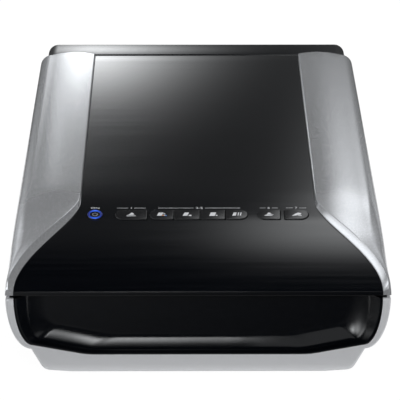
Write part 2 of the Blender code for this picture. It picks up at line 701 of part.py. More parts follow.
def make_base_tray():
    edges = [(0.0, CASE_EDGE), (CASE_EDGE * 0.3, CASE_EDGE * 0.3), (CASE_EDGE, 0.0)]
    rings = edges + [(DEPTH - d, inset) for d, inset in reversed(edges)]
    case = [[(x, at(d), z) for x, z in hull_outline(i, RIM_Z, RIM_ROUND)] for d, i in rings]
    tray = loft("base_tray", case, SILVER)
    over = RIM_Z + TRAY_WALL
    room = [(TRAY_WALL, TRAY_WALL), (DEPTH - TRAY_WALL, TRAY_WALL)]
    cut(tray, loft("tray_room", [[(x, at(d), z) for x, z in hull_outline(i, over, 0.0)] for d, i in room]))
    mouth = [[(x, at(d), z) for x, z in scoop_outline(0.0, 0.0, 0.0, over)] for d in (-TRAY_WALL, 2 * TRAY_WALL)]
    cut(tray, loft("scoop_mouth", mouth))
    for middle in (ROD_FRONT + CRADLE_LONG / 2, ROD_BACK - CRADLE_LONG / 2):
        low = (ROD_X - CRADLE_HALF, at(middle - CRADLE_LONG / 2 - FIT), FLOOR_Z - TRAY_WALL / 2)
        high = (ROD_X + CRADLE_HALF, at(middle + CRADLE_LONG / 2), ROD_Z + CRADLE_HALF)
        fuse(tray, block("cradle", low, high))
    rod_hole = circle(ROD_X, ROD_Z, ROD_R + FIT, 16)
    cut(tray, prism("rod_hole", rod_hole, "y", at(ROD_FRONT - CRADLE_LONG), at(ROD_BACK + CRADLE_LONG)))
    peg = circle(BELT_X, at(spring_ends()[0]), SPRING_R, 12)
    fuse(tray, prism("spring_peg", peg, "z", FLOOR_Z - TRAY_WALL / 2, spring_z() + SPRING_R))
    for x, wide, tall in SOCKETS.values():
        low = (x - wide / 2 - FIT, at(DEPTH - 2 * TRAY_WALL), SOCKET_Z - tall / 2 - FIT)
        high = (x + wide / 2 + FIT, at(DEPTH + TRAY_WALL), SOCKET_Z + tall / 2 + FIT)
        cut(tray, block("socket_hole", low, high))
    low = (LOCK_X - LOCK_WIDE / 2 - SLIDE_FIT, at(DEPTH - 2 * TRAY_WALL), LOCK_Z - LOCK_TALL / 2 - SLIDE_FIT)
    high = (LOCK_X + LOCK_WIDE / 2 + LOCK_TRAVEL + SLIDE_FIT, at(DEPTH + TRAY_WALL), LOCK_Z + LOCK_TALL / 2 + SLIDE_FIT)
    return cut(tray, block("lock_slot", low, high))


def glass_box(grow, low, high):
    half = GLASS_HALF + grow
    front, back = GLASS_FRONT - grow, GLASS_BACK + grow
    return (-half, at(front), low), (half, at(back), high)


def make_bezel():
    half = WIDTH / 2 - TRAY_WALL - FIT
    front, back = SCOOP_DEPTH + SCOOP_WALL + FIT, DEPTH - TRAY_WALL - FIT
    glass_bottom = RIM_Z - GLASS_SUNK - GLASS_THICK
    ledge_z = glass_bottom - FIT
    bezel = block("base_bezel", (-half, at(front), RIM_Z - BEZEL_PLATE), (half, at(back), RIM_Z), BLACK_SATIN)
    fuse(bezel, block("ledge", *glass_box(LEDGE_WALL, ledge_z - LEDGE_THICK, RIM_Z - BEZEL_PLATE / 2)))
    cut(bezel, block("glass_room", *glass_box(FIT, ledge_z, RIM_Z + BEZEL_PLATE)))
    cut(bezel, block("window", *glass_box(-GLASS_LEDGE, ledge_z - 2 * LEDGE_THICK, RIM_Z)))
    for x in (-HINGE_X, HINGE_X):
        wide, deep = POST_WIDE / 2 + SLIDE_FIT, KNUCKLE_R + SLIDE_FIT
        sleeve = (x - wide - TRAY_WALL, at(HINGE_BACK) - deep - TRAY_WALL, POST_FOOT_Z)
        sleeve_end = (x + wide + TRAY_WALL, at(HINGE_BACK) + deep + TRAY_WALL, RIM_Z - BEZEL_PLATE / 2)
        fuse(bezel, block("sleeve", sleeve, sleeve_end))
        low = (x - wide, at(HINGE_BACK) - deep, POST_FOOT_Z - TRAY_WALL)
        cut(bezel, block("post_room", low, (x + wide, at(HINGE_BACK) + deep, RIM_Z + TRAY_WALL)))
    return bezel


def make_glass():
    top = RIM_Z - GLASS_SUNK
    return block("platen_glass", *glass_box(0.0, top - GLASS_THICK, top), GLASS)


def rear_outline(inset, low_z):
    half, top = REAR_HALF - inset, REAR_TOP_Z - inset
    radius = REAR_ROUND - inset
    turns = [math.radians(15 * i) for i in range(7)]
    right = [(half, low_z)]
    right += [(half - radius + radius * math.cos(t), top - radius + radius * math.sin(t)) for t in turns]
    return right + [(-x, z) for x, z in reversed(right)]


def make_rear_cover():
    low, back = RIM_Z + FIT, DEPTH - REAR_INSET
    soft = REAR_ROUND * 0.7
    rings = [(REAR_FRONT, REAR_WALL * 0.6), (REAR_FRONT + REAR_WALL * 0.6, 0.0), (back - soft, 0.0)]
    rings += [(back - soft * 0.4, soft * 0.12), (back - soft * 0.08, soft * 0.45), (back, soft * 0.8)]
    cover = loft("rear_cover", [[(x, at(d), z) for x, z in rear_outline(i, low)] for d, i in rings], BLACK_GLOSS)
    thick = REAR_WALL + soft * 0.3
    room = [(REAR_FRONT + REAR_WALL, thick), (back - soft * 0.4 - REAR_WALL, thick), (back - REAR_WALL, thick + soft)]
    hollow = [[(x, at(d), z) for x, z in rear_outline(i, low - REAR_WALL)] for d, i in room]
    return cut(cover, loft("rear_room", hollow))


def make_feet():
    top = TRAY_BOTTOM_Z - FIT
    for end, distance in (("front", FOOT_END), ("back", DEPTH - FOOT_END)):
        for side, x in (("left", -FOOT_X), ("right", FOOT_X)):
            foot = prism(f"foot_{end}_{side}", circle(x, at(distance), FOOT_R), "z", 0.0, top, RUBBER)
            set_origin(foot, (x, at(distance), 0.0))


# Carriage and optics

def make_carriage():
    front, back = CARRIAGE_FRONT, CARRIAGE_FRONT + CARRIAGE_LONG
    low = (-CARRIAGE_HALF, at(front), CARRIAGE_BOTTOM_Z)
    body = block("carriage_body", low, (CARRIAGE_HALF, at(back), CARRIAGE_TOP_Z), BLACK_SATIN)
    wall, floor_z = CARRIAGE_WALL, CARRIAGE_BOTTOM_Z + CARRIAGE_FLOOR
    inside = CARRIAGE_HALF - wall
    low, high = (-inside, at(front + wall), floor_z), (inside, at(back - wall), CARRIAGE_TOP_Z + wall)
    cut(body, block("optics_room", low, high))
    middles = (front + BUSH_LONG, back - BUSH_LONG)
    for middle in middles:
        low = (ROD_X - BUSH_HOUSING, at(middle) - BUSH_LONG / 2, ROD_Z - BUSH_HOUSING + CARRIAGE_FLOOR / 2)
        high = (ROD_X + BUSH_HOUSING, at(middle) + BUSH_LONG / 2, CARRIAGE_BOTTOM_Z + CARRIAGE_FLOOR / 2)
        fuse(body, block("housing", low, high))
    hole = circle(ROD_X, ROD_Z, BUSH_R + FIT, 20)
    cut(body, prism("bush_hole", hole, "y", at(front - wall), at(back + wall)))
    run = BELT_X + BELT_R + BELT_THICK / 2 + SLIDE_FIT
    low = (run, at(front + CARRIAGE_LONG / 2) - LEG, BELT_Z)
    high = (run + LEG / 2, at(front + CARRIAGE_LONG / 2) + LEG, CARRIAGE_BOTTOM_Z + CARRIAGE_FLOOR / 2)
    fuse(body, block("belt_clamp", low, high))
    pieces = [body]
    for end, middle in zip(("front", "rear"), middles):
        outer = circle(ROD_X, ROD_Z, BUSH_R, 20)
        bush = prism("carriage_bush_" + end, outer, "y", at(middle) - BUSH_LONG / 2, at(middle) + BUSH_LONG / 2, NYLON)
        bore = circle(ROD_X, ROD_Z, ROD_R + FIT, 16)
        cut(bush, prism("bore", bore, "y", at(middle) - BUSH_LONG, at(middle) + BUSH_LONG))
        pieces.append(bush)
    half, long = SLIDER_SIZE[0] / 2, SLIDER_SIZE[1] / 2
    middle = at(front + CARRIAGE_LONG / 2)
    low, high = (RAIL_X - half, middle - long, RAIL_TOP_Z + FIT), (RAIL_X + half, middle + long, CARRIAGE_BOTTOM_Z - FIT)
    pieces.append(block("carriage_slider", low, high, NYLON))
    return pieces + make_optics(inside - FIT, front + wall, back - wall, floor_z)


def make_optics(half, front, back, floor_z):
    low = (-half, at(back) - FIT - 2 * LAMP_SIZE[0], CARRIAGE_TOP_Z - LAMP_SIZE[1])
    pieces = [block("lamp_bar", low, (half, at(back) - FIT - LAMP_SIZE[0], CARRIAGE_TOP_Z), WHITE)]
    for i, (behind, above, tilt) in enumerate(MIRRORS):
        turn = math.radians(tilt)
        along = (math.cos(turn) * MIRROR_SIZE[0] / 2, math.sin(turn) * MIRROR_SIZE[0] / 2)
        off = (-math.sin(turn) * MIRROR_SIZE[1] / 2, math.cos(turn) * MIRROR_SIZE[1] / 2)
        outline = []
        for a, b in ((-1, -1), (1, -1), (1, 1), (-1, 1)):
            y = at(front + behind) + a * along[0] + b * off[0]
            outline.append((y, floor_z + above + a * along[1] + b * off[1]))
        pieces.append(prism(f"mirror_{i + 1}", outline, "x", -half, half, MIRROR))
    board_back = back - FIT
    low = (-CCD_SIZE[0] / 2, at(board_back) - CCD_SIZE[1], floor_z + FIT)
    pieces.append(block("ccd_board", low, (CCD_SIZE[0] / 2, at(board_back), floor_z + CCD_SIZE[2]), BOARD_GREEN))
    lens_back = board_back - CCD_SIZE[1] - FIT
    ring = circle(0.0, floor_z + FIT + LENS_R, LENS_R, 20)
    pieces.append(prism("lens_barrel", ring, "y", at(lens_back - LENS_LONG), at(lens_back), BLACK_SATIN))
    return pieces


def make_rails():
    rod_end = (at(ROD_FRONT), at(ROD_BACK))
    prism("guide_rod", circle(ROD_X, ROD_Z, ROD_R, 16), "y", *rod_end, STEEL)
    low = (RAIL_X - RAIL_WIDE / 2, at(ROD_FRONT), FLOOR_Z + FIT)
    block("slide_rail", low, (RAIL_X + RAIL_WIDE / 2, at(ROD_BACK), RAIL_TOP_Z), STEEL)


# Drive

def gear_outline(teeth, turn):
    pitch_r = GEAR_MODULE * teeth / 2
    half = math.pi * GEAR_MODULE / 4 - BACKLASH / 2
    levels = ((-1.15, 1.35), (0.0, 1.0), (0.8, 0.5))
    outline = []
    for i in range(teeth):
        middle = turn + 2 * math.pi * i / teeth
        for side, order in ((-1, levels), (1, levels[::-1])):
            for height, share in order:
                radius = pitch_r + height * GEAR_MODULE
                angle = middle + side * half * share / pitch_r
                outline.append((radius * math.cos(angle), radius * math.sin(angle)))
    return outline


def gear_levels():
    low = BELT_Z + BELT_TALL + PULLEY_RIM + GEAR_GAP
    return low, low + GEAR_THICK


def turned(name, outline, x, distance, low, high, bore, finish):
    made = prism(name, [(x + a, at(distance) + b) for a, b in outline], "z", low, high, finish)
    cut(made, prism("bore", circle(x, at(distance), bore, 16), "z", low - BELT_TALL, high + BELT_TALL))
    set_origin(made, (x, at(distance), low))
    return made


def pinion_back():
    return DRIVE_BACK + GEAR_MODULE * (GEAR_TEETH + PINION_TEETH) / 2


def make_drive():
    pulley_r = BELT_R - BELT_THICK / 2 - FIT
    wheel = circle(0.0, 0.0, pulley_r, 24)
    low, high = BELT_Z - PULLEY_RIM, BELT_Z + BELT_TALL + PULLEY_RIM
    bore = SHAFT_R + FIT
    pulley = turned("drive_pulley", wheel, BELT_X, DRIVE_BACK, low, high, bore, NYLON)
    idler = turned("idler_pulley", wheel, BELT_X, IDLER_BACK, low, high, bore, NYLON)
    gear_low, gear_high = gear_levels()
    gap_turn = math.pi / 2 + math.pi / GEAR_TEETH
    gear = turned("reduction_gear", gear_outline(GEAR_TEETH, gap_turn), BELT_X, DRIVE_BACK, gear_low, gear_high, bore, NYLON)
    teeth = gear_outline(PINION_TEETH, -math.pi / 2)
    pinion = turned("motor_pinion", teeth, BELT_X, pinion_back(), gear_low, gear_high, MOTOR_SHAFT_R + FIT, STEEL)
    make_belt()
    make_motor(gear_high)
    make_tensioner(low)
    return pulley, idler, gear, pinion


def belt_path(radius):
    ends = ((IDLER_BACK, 180), (DRIVE_BACK, 0))
    path = []
    for distance, first in ends:
        for i in range(13):
            turn = math.radians(first + 15 * i)
            path.append((BELT_X + radius * math.cos(turn), at(distance) + radius * math.sin(turn)))
    return path


def make_belt():
    belt = prism("drive_belt", belt_path(BELT_R + BELT_THICK / 2), "z", BELT_Z, BELT_Z + BELT_TALL, RUBBER)
    inner = belt_path(BELT_R - BELT_THICK / 2)
    return cut(belt, prism("belt_room", inner, "z", BELT_Z - BELT_TALL, BELT_Z + 2 * BELT_TALL))


def make_motor(gear_high):
    plate_low = gear_high + GEAR_GAP
    plate_high = plate_low + PLATE_THICK
    front, back = DRIVE_BACK - PLATE_HALF / 2, pinion_back() + MOTOR_R + LEG / 2
    low, high = (BELT_X - PLATE_HALF, at(front), plate_low), (BELT_X + PLATE_HALF, at(back), plate_high)
    plate = block("motor_plate", low, high, STEEL)
    shaft = circle(BELT_X, at(DRIVE_BACK), SHAFT_R, 16)
    fuse(plate, prism("gear_shaft", shaft, "z", BELT_Z - 2 * PULLEY_RIM, plate_low + PLATE_THICK / 2))
    for x in (BELT_X - PLATE_HALF, BELT_X + PLATE_HALF - LEG):
        leg = (x, at(back) - LEG, FLOOR_Z + FIT)
        fuse(plate, block("leg", leg, (x + LEG, at(back), plate_low + PLATE_THICK / 2)))
    opening = circle(BELT_X, at(pinion_back()), MOTOR_SHAFT_R + 2 * FIT, 16)
    cut(plate, prism("shaft_hole", opening, "z", plate_low - PLATE_THICK, plate_high + PLATE_THICK))
    can = circle(BELT_X, at(pinion_back()), MOTOR_R, 28)
    motor = prism("stepper_motor", can, "z", plate_high + FIT, plate_high + FIT + MOTOR_TALL, STEEL)
    spindle = circle(BELT_X, at(pinion_back()), MOTOR_SHAFT_R, 12)
    fuse(motor, prism("spindle", spindle, "z", gear_levels()[0], plate_high + MOTOR_TALL / 2))


def spring_ends():
    return SCOOP_DEPTH + SCOOP_WALL + 3 * SPRING_R, IDLER_BACK - 2 * LEG


def spring_z():
    return FLOOR_Z + FIT + TENSIONER_THICK + SPRING_R


def make_tensioner(pulley_low):
    low_z = FLOOR_Z + FIT
    half = LEG
    front = spring_ends()[1]
    low, high = (BELT_X - half, at(front), low_z), (BELT_X + half, at(IDLER_BACK) + half, low_z + TENSIONER_THICK)
    bracket = block("belt_tensioner", low, high, STEEL)
    lug = (BELT_X - SPRING_R, at(front), low_z + TENSIONER_THICK / 2)
    fuse(bracket, block("lug", lug, (BELT_X + SPRING_R, at(front) + SPRING_R, spring_z() + SPRING_R)))
    shaft = circle(BELT_X, at(IDLER_BACK), SHAFT_R, 16)
    fuse(bracket, prism("idler_shaft", shaft, "z", low_z + TENSIONER_THICK / 2, BELT_Z + BELT_TALL + 2 * PULLEY_RIM))
    make_spring()


def make_spring():
    start, end = spring_ends()
    start, end = start + SPRING_R + SPRING_WIRE + FIT, end - SPRING_WIRE - FIT
    coil = bpy.data.curves.new("tension_spring", "CURVE")
    coil.dimensions = "3D"
    coil.bevel_depth = SPRING_WIRE
    coil.bevel_resolution = 1
    coil.use_fill_caps = True
    count = SPRING_TURNS * 10
    line = coil.splines.new("POLY")
    line.points.add(count)
    middle_r = SPRING_R - SPRING_WIRE
    path = []
    for i in range(count + 1):
        turn = 2 * math.pi * SPRING_TURNS * i / count
        y = at(start + (end - start) * i / count)
        path.append(Vector((BELT_X + middle_r * math.cos(turn), y, spring_z() + middle_r * math.sin(turn))))
        line.points[i].co = (*path[i], 1.0)
    spans = [(a - b).length for i, a in enumerate(path) for b in path[i + 5:]]
    print(f"spring: least gap to itself {(min(spans) - 2 * SPRING_WIRE) * 1000:.2f} mm")
    spring = bpy.data.objects.new("tension_spring", coil)
    bpy.context.collection.objects.link(spring)
    paint(spring, STEEL)


def make_cable():
    low = FLOOR_Z + FIT
    middle_z = low + CABLE_THICK / 2 + CABLE_BEND_R
    path = [(BOARD_BACK - FIT, -CABLE_BEND_R)]
    for i in range(13):
        turn = math.radians(-90 - 15 * i)
        path.append((CABLE_FRONT + CABLE_BEND_R * math.cos(turn), CABLE_BEND_R * math.sin(turn)))
    path.append((CABLE_FRONT + CABLE_HOLD, CABLE_BEND_R))
    grown = CABLE_BEND_R + CABLE_THICK / 2
    shrunk = CABLE_BEND_R - CABLE_THICK / 2
    outer, inner = [], []
    for out, above in path:
        outer.append(cable_point(out, above, grown / CABLE_BEND_R, middle_z))
        inner.append(cable_point(out, above, shrunk / CABLE_BEND_R, middle_z))
    outline = outer + inner[::-1]
    half = CABLE_WIDE / 2
    return prism("flat_cable", outline, "x", CABLE_X - half, CABLE_X + half, WHITE)


def cable_point(out, above, scale, middle_z):
    if out < CABLE_FRONT:
        out = CABLE_FRONT + (out - CABLE_FRONT) * scale
    return (at(out), middle_z + above * scale)


# Boards, sockets and the transport lock

def make_electronics():
    half = BOARD_SIZE[0] / 2
    low = (-half, at(BOARD_BACK), FLOOR_Z + FIT)
    block("main_board", low, (half, at(BOARD_BACK) + BOARD_SIZE[1], FLOOR_Z + BOARD_SIZE[2]), BOARD_GREEN)
    front, back = BOARD_BACK + BOARD_SIZE[1] + FIT, DEPTH - FIT
    for name, (x, wide, tall) in SOCKETS.items():
        low, high = (x - wide / 2, at(front), SOCKET_Z - tall / 2), (x + wide / 2, at(back), SOCKET_Z + tall / 2)
        shell = block(name, low, high, BLACK_SATIN)
        wall = SOCKET_WALL
        low, high = (low[0] + wall, low[1] + wall, low[2] + wall), (high[0] - wall, high[1] + wall, high[2] - wall)
        cut(shell, block("socket_room", low, high))
    half, tall = LOCK_WIDE / 2, LOCK_TALL / 2
    inner = DEPTH - TRAY_WALL - FIT
    lock = block("transport_lock", (LOCK_X - half, at(inner) - LOCK_FLANGE / 2, LOCK_Z - tall),
                 (LOCK_X + half, at(DEPTH - FIT), LOCK_Z + tall), BLACK_SATIN)
    flange = (LOCK_X - half - LOCK_FLANGE, at(inner) - LOCK_FLANGE, LOCK_Z - tall - LOCK_FLANGE)
    flange_end = (LOCK_X + half + LOCK_FLANGE, at(inner), LOCK_Z + tall + LOCK_FLANGE)
    fuse(lock, block("flange", flange, flange_end))
    set_origin(lock, (LOCK_X, at(DEPTH), LOCK_Z))


def smooth_round_pieces():
    for made in bpy.data.objects:
        if made.type == "MESH":
            made.data.shade_smooth()
            made.data.set_sharp_from_angle(angle=math.radians(32))


def main():
    for old in list(bpy.data.objects):
        bpy.data.objects.remove(old, do_unlink=True)
    lid = [make_top_panel(), make_wing(-1, "lid_wing_left"), make_wing(1, "lid_wing_right"), make_lid_frame()]
    inside, mat = make_lid_inside()
    buttons = [make_button(name, shape) for name, shape in button_outlines().items()]
    lid += inside + [mat, make_button_board()] + buttons
    posts = []
    for side, name in ((-1, "left"), (1, "right")):
        post, pin, bracket = make_hinge(side, name)
        posts += [post, pin]
        lid.append(bracket)
    make_base_tray()
    make_front_panel()
    make_bezel()
    make_glass()
    make_rear_cover()
    make_feet()
    carriage = make_carriage()
    make_rails()
    make_drive()
    make_cable()
    make_electronics()
    smooth_round_pieces()
    carry("lid_axis", (0.0, at(HINGE_BACK), HINGE_Z), lid)
    carry("hinge_lift_axis", (0.0, at(HINGE_BACK), POST_FOOT_Z), posts)
    carry("carriage_axis", (ROD_X, at(CARRIAGE_FRONT), ROD_Z), carriage)


main()
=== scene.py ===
import bpy
import bmesh
import math
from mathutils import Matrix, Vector


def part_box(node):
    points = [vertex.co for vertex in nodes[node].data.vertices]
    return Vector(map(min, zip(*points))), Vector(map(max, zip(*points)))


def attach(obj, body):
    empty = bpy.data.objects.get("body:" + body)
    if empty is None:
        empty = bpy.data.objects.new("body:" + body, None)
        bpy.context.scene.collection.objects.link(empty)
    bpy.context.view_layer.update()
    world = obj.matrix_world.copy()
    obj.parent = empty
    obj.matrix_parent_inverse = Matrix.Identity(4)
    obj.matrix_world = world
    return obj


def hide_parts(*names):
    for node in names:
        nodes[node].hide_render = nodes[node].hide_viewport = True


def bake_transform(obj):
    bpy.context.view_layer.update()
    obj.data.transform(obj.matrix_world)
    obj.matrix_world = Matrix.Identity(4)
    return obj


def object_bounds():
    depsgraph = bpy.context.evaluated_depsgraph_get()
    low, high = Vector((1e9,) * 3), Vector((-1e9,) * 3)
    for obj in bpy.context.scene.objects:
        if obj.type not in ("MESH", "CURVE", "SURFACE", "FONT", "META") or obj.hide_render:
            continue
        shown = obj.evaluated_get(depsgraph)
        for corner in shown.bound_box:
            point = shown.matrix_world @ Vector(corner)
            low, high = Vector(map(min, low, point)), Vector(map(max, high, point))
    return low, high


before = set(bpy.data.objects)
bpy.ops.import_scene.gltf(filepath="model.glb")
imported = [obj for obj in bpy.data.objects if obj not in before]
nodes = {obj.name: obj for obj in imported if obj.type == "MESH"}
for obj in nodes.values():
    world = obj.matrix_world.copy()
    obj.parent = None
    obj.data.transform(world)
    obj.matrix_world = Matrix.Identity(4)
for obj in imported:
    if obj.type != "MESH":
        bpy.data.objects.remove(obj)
cadBox = [list(corner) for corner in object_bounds()]
scene = bpy.context.scene
scene.view_settings.view_transform = "Standard"
frontY = cadBox[0][1]  # the lip's plane: d is measured back from it
print("stage: frame loaded")


# camera

cameraSetting = {
    "lens": 254.07, "sensor": 36.0, "far": 60.0,
    "place": (-0.006, -2.089, 0.791), "down": 19.6, "turn": -0.225,
}
cameraData = bpy.data.cameras.new("mainCamera")
cameraData.lens = cameraSetting["lens"]
cameraData.sensor_width = cameraSetting["sensor"]
cameraData.clip_end = cameraSetting["far"]
camera = bpy.data.objects.new("mainCamera", cameraData)
camera.location = cameraSetting["place"]
camera.rotation_euler = (math.radians(90 - cameraSetting["down"]), 0, math.radians(cameraSetting["turn"]))
scene.collection.objects.link(camera)
scene.camera = camera
print("stage: camera")


# making meshes

axisOrders = {  # a and b across the axis, c along it
    "x": lambda a, b, c: (c, a, b),
    "y": lambda a, b, c: (a, c, b),
    "z": lambda a, b, c: (a, b, c),
}
cornerShare = 0.49  # of either side that a rounded corner may take
softSetting = {"segments": 2, "angle": 38}


def at(d):
    return frontY + d


def sinOf(degrees):
    return math.sin(math.radians(degrees))


def cosOf(degrees):
    return math.cos(math.radians(degrees))


def quarter(steps):
    return [90 * i / steps for i in range(steps + 1)]


def easeShare(t):
    t = min(max(t, 0.0), 1.0)
    return t * t * (3 - 2 * t)


def spread(start, end, count):
    return [start + (end - start) * i / count for i in range(count + 1)]


def makeObject(name, mesh):
    obj = bpy.data.objects.new(name, mesh)
    scene.collection.objects.link(obj)
    return obj


def makePiece(name, points, faces, material=None):
    bm = bmesh.new()
    corners = [bm.verts.new(p) for p in points]
    for face in faces:
        bm.faces.new([corners[i] for i in face])
    bmesh.ops.recalc_face_normals(bm, faces=bm.faces)
    mesh = bpy.data.meshes.new(name)
    bm.to_mesh(mesh)
    bm.free()
    if material:
        mesh.materials.append(material)
    return makeObject(name, mesh)


def loftRings(name, rings, material=None):
    count = len(rings[0])
    points = [p for ring in rings for p in ring]
    faces = [list(range(count)), [len(points) - 1 - i for i in range(count)]]
    for r in range(len(rings) - 1):
        for i in range(count):
            j = (i + 1) % count
            faces.append([r * count + i, r * count + j, (r + 1) * count + j, (r + 1) * count + i])
    return makePiece(name, points, faces, material)


def loftSections(name, sections, material=None):
    return loftRings(name, [[(x, at(d), z) for x, z in section] for d, section in sections], material)


def prismOf(name, outline, axis, start, end, material=None):
    place = axisOrders[axis]
    return loftRings(name, [[place(a, b, c) for a, b in outline] for c in (start, end)], material)


def rectangle(low, high):
    return [(low[0], low[1]), (high[0], low[1]), (high[0], high[1]), (low[0], high[1])]


def boxOf(name, low, high):
    return prismOf(name, rectangle(low, high), "z", low[2], high[2])


def manyBoxes(name, boxes, material):
    points, faces = [], []
    for low, high in boxes:
        i = len(points)
        points += [(x, y, z) for z in (low[2], high[2]) for x, y in rectangle(low, high)]
        faces += [[i, i + 1, i + 2, i + 3], [i + 4, i + 5, i + 6, i + 7]]
        faces += [[i + k, i + (k + 1) % 4, i + 4 + (k + 1) % 4, i + 4 + k] for k in range(4)]
    return makePiece(name, points, faces, material)


def ringOf(a, b, radius, count):
    turns = [2 * math.pi * i / count for i in range(count)]
    return [(a + radius * math.cos(t), b + radius * math.sin(t)) for t in turns]


def mirrored(right):
    return [(-x, z) for x, z in reversed(right)] + right


def cornerArc(before, corner, after, radius, steps):
    p, a, b = Vector(corner), Vector(before), Vector(after)
    u, v = (a - p).normalized(), (b - p).normalized()
    half = math.acos(max(-1.0, min(1.0, u.dot(v)))) / 2
    reach = min(radius / math.tan(half), cornerShare * (a - p).length, cornerShare * (b - p).length)
    start, end = p + u * reach, p + v * reach
    arc = []
    for i in range(steps + 1):
        s = i / steps
        q = start * (1 - s) ** 2 + p * 2 * s * (1 - s) + end * s ** 2
        arc.append(tuple(q))
    return arc


def bakeMods(obj):
    graph = bpy.context.evaluated_depsgraph_get()
    mesh = bpy.data.meshes.new_from_object(obj.evaluated_get(graph))
    old = obj.data
    obj.modifiers.clear()
    obj.data = mesh
    bpy.data.meshes.remove(old)
    mesh.name = obj.name


def carve(obj, cutter):
    change = obj.modifiers.new("carve", "BOOLEAN")
    change.operation = "DIFFERENCE"
    change.solver = "EXACT"
    change.object = cutter
    bakeMods(obj)
    bpy.data.objects.remove(cutter, do_unlink=True)


def soften(obj, width):
    edge = obj.modifiers.new("edge", "BEVEL")
    edge.width = width
    edge.segments = softSetting["segments"]
    edge.limit_method = "ANGLE"
    edge.angle_limit = math.radians(softSetting["angle"])
    edge.use_clamp_overlap = True
    edge.miter_outer = "MITER_ARC"
    bakeMods(obj)


def shade(obj, angle):
    obj.data.shade_smooth()
    obj.data.set_sharp_from_angle(angle=math.radians(angle))


def settle(obj, body, slot, *replaced):
    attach(obj, body)
    if replaced:
        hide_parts(*replaced)


# materials

grainDetail = 2.0
toneReach = (0.35, 0.65)  # of the noise, for colours
roughReach = (0.3, 0.7)  # of the noise, for roughness


def addNode(tree, kind, **values):
    node = tree.nodes.new(kind)
    for key, value in values.items():
        if hasattr(node, key):
            setattr(node, key, value)
        else:
            node.inputs[key.replace("_", " ")].default_value = value
    return node


def newFinish(name, **values):
    mat = bpy.data.materials.new(name)
    mat.use_nodes = True
    shader = mat.node_tree.nodes["Principled BSDF"]
    for key, value in values.items():
        shader.inputs[key.replace("_", " ")].default_value = value
    return mat, mat.node_tree, shader


def showSurface(tree, socket):
    tree.links.new(socket, tree.nodes["Material Output"].inputs["Surface"])


def grain(tree, scale, stretch):
    coord = addNode(tree, "ShaderNodeTexCoord")
    mapping = addNode(tree, "ShaderNodeMapping")
    mapping.inputs["Scale"].default_value = stretch
    noise = addNode(tree, "ShaderNodeTexNoise", Scale=scale, Detail=grainDetail)
    tree.links.new(coord.outputs["Object"], mapping.inputs["Vector"])
    tree.links.new(mapping.outputs["Vector"], noise.inputs["Vector"])
    return noise.outputs["Fac"]


def toned(tree, fac, socket, low, high, reach=toneReach):
    ramp = addNode(tree, "ShaderNodeValToRGB")
    for stop, place, color in zip(ramp.color_ramp.elements, reach, (low, high)):
        stop.position = place
        stop.color = (*color, 1)
    tree.links.new(fac, ramp.inputs["Fac"])
    tree.links.new(ramp.outputs["Color"], socket)


def ranged(tree, fac, socket, low, high):
    scaled = addNode(tree, "ShaderNodeMapRange")
    scaled.inputs["From Min"].default_value, scaled.inputs["From Max"].default_value = roughReach
    scaled.inputs["To Min"].default_value = low
    scaled.inputs["To Max"].default_value = high
    tree.links.new(fac, scaled.inputs["Value"])
    tree.links.new(scaled.outputs["Result"], socket)


def bumped(tree, shader, fac, strength, distance):
    bump = addNode(tree, "ShaderNodeBump", Strength=strength, Distance=distance)
    tree.links.new(fac, bump.inputs["Height"])
    tree.links.new(bump.outputs["Normal"], shader.inputs["Normal"])


def plainFinish(name, low, high, rough, scale, stretch=(1, 1, 1), bump=0.0, depth=0.0001, **values):
    mat, tree, shader = newFinish(name, **values)
    fac = grain(tree, scale, stretch)
    toned(tree, fac, shader.inputs["Base Color"], low, high)
    ranged(tree, fac, shader.inputs["Roughness"], *rough)
    if bump:
        bumped(tree, shader, fac, bump, depth)
    return mat


# each finish: darkest and palest colour, least and most roughness, scale of its grain
silverPaint = plainFinish("silverPaint", (0.57, 0.58, 0.60), (0.64, 0.65, 0.67), (0.24, 0.28), 2600,
                          bump=0.04, depth=0.00004, Metallic=0.7)
casePaint = plainFinish("casePaint", (0.62, 0.63, 0.65), (0.68, 0.69, 0.71), (0.38, 0.44), 2600,
                        bump=0.04, depth=0.00004, Metallic=0.3)
panelFilm = plainFinish("panelFilm", (0.0005, 0.0009, 0.0018), (0.0011, 0.0015, 0.0026), (0.15, 0.19), 60,
                        (0.15, 6, 6), bump=0.6, depth=0.00001, IOR=1.7)  # hairlines run across
glossBlack = plainFinish("glossBlack", (0.0012, 0.0018, 0.0030), (0.0022, 0.0028, 0.0042), (0.16, 0.20), 240,
                         bump=0.01, Specular_IOR_Level=0.5)
scoopBlack = plainFinish("scoopBlack", (0.0012, 0.0017, 0.0028), (0.0020, 0.0025, 0.0038), (0.16, 0.19), 240,
                         bump=0.01, IOR=1.7)
buttonBlack = plainFinish("buttonBlack", (0.006, 0.0062, 0.007), (0.009, 0.0092, 0.010), (0.20, 0.26), 500,
                          bump=0.02, IOR=1.6)
trayGrey = plainFinish("trayGrey", (0.035, 0.036, 0.038), (0.05, 0.051, 0.054), (0.5, 0.6), 1200, bump=0.1)
satinBlack = plainFinish("satinBlack", (0.012, 0.012, 0.013), (0.02, 0.02, 0.021), (0.42, 0.52), 1400,
                         bump=0.12)
rubberBlack = plainFinish("rubberBlack", (0.012, 0.012, 0.012), (0.022, 0.022, 0.022), (0.75, 0.85), 1800,
                          bump=0.2)
whitePlastic = plainFinish("whitePlastic", (0.72, 0.73, 0.73), (0.78, 0.79, 0.79), (0.5, 0.6), 900, bump=0.06)
padWhite = plainFinish("padWhite", (0.76, 0.77, 0.77), (0.82, 0.83, 0.83), (0.6, 0.7), 1500, bump=0.1)
steelBright = plainFinish("steelBright", (0.50, 0.51, 0.52), (0.58, 0.59, 0.60), (0.25, 0.34), 300,
                          (0.2, 8, 8), bump=0.04, Metallic=1.0)
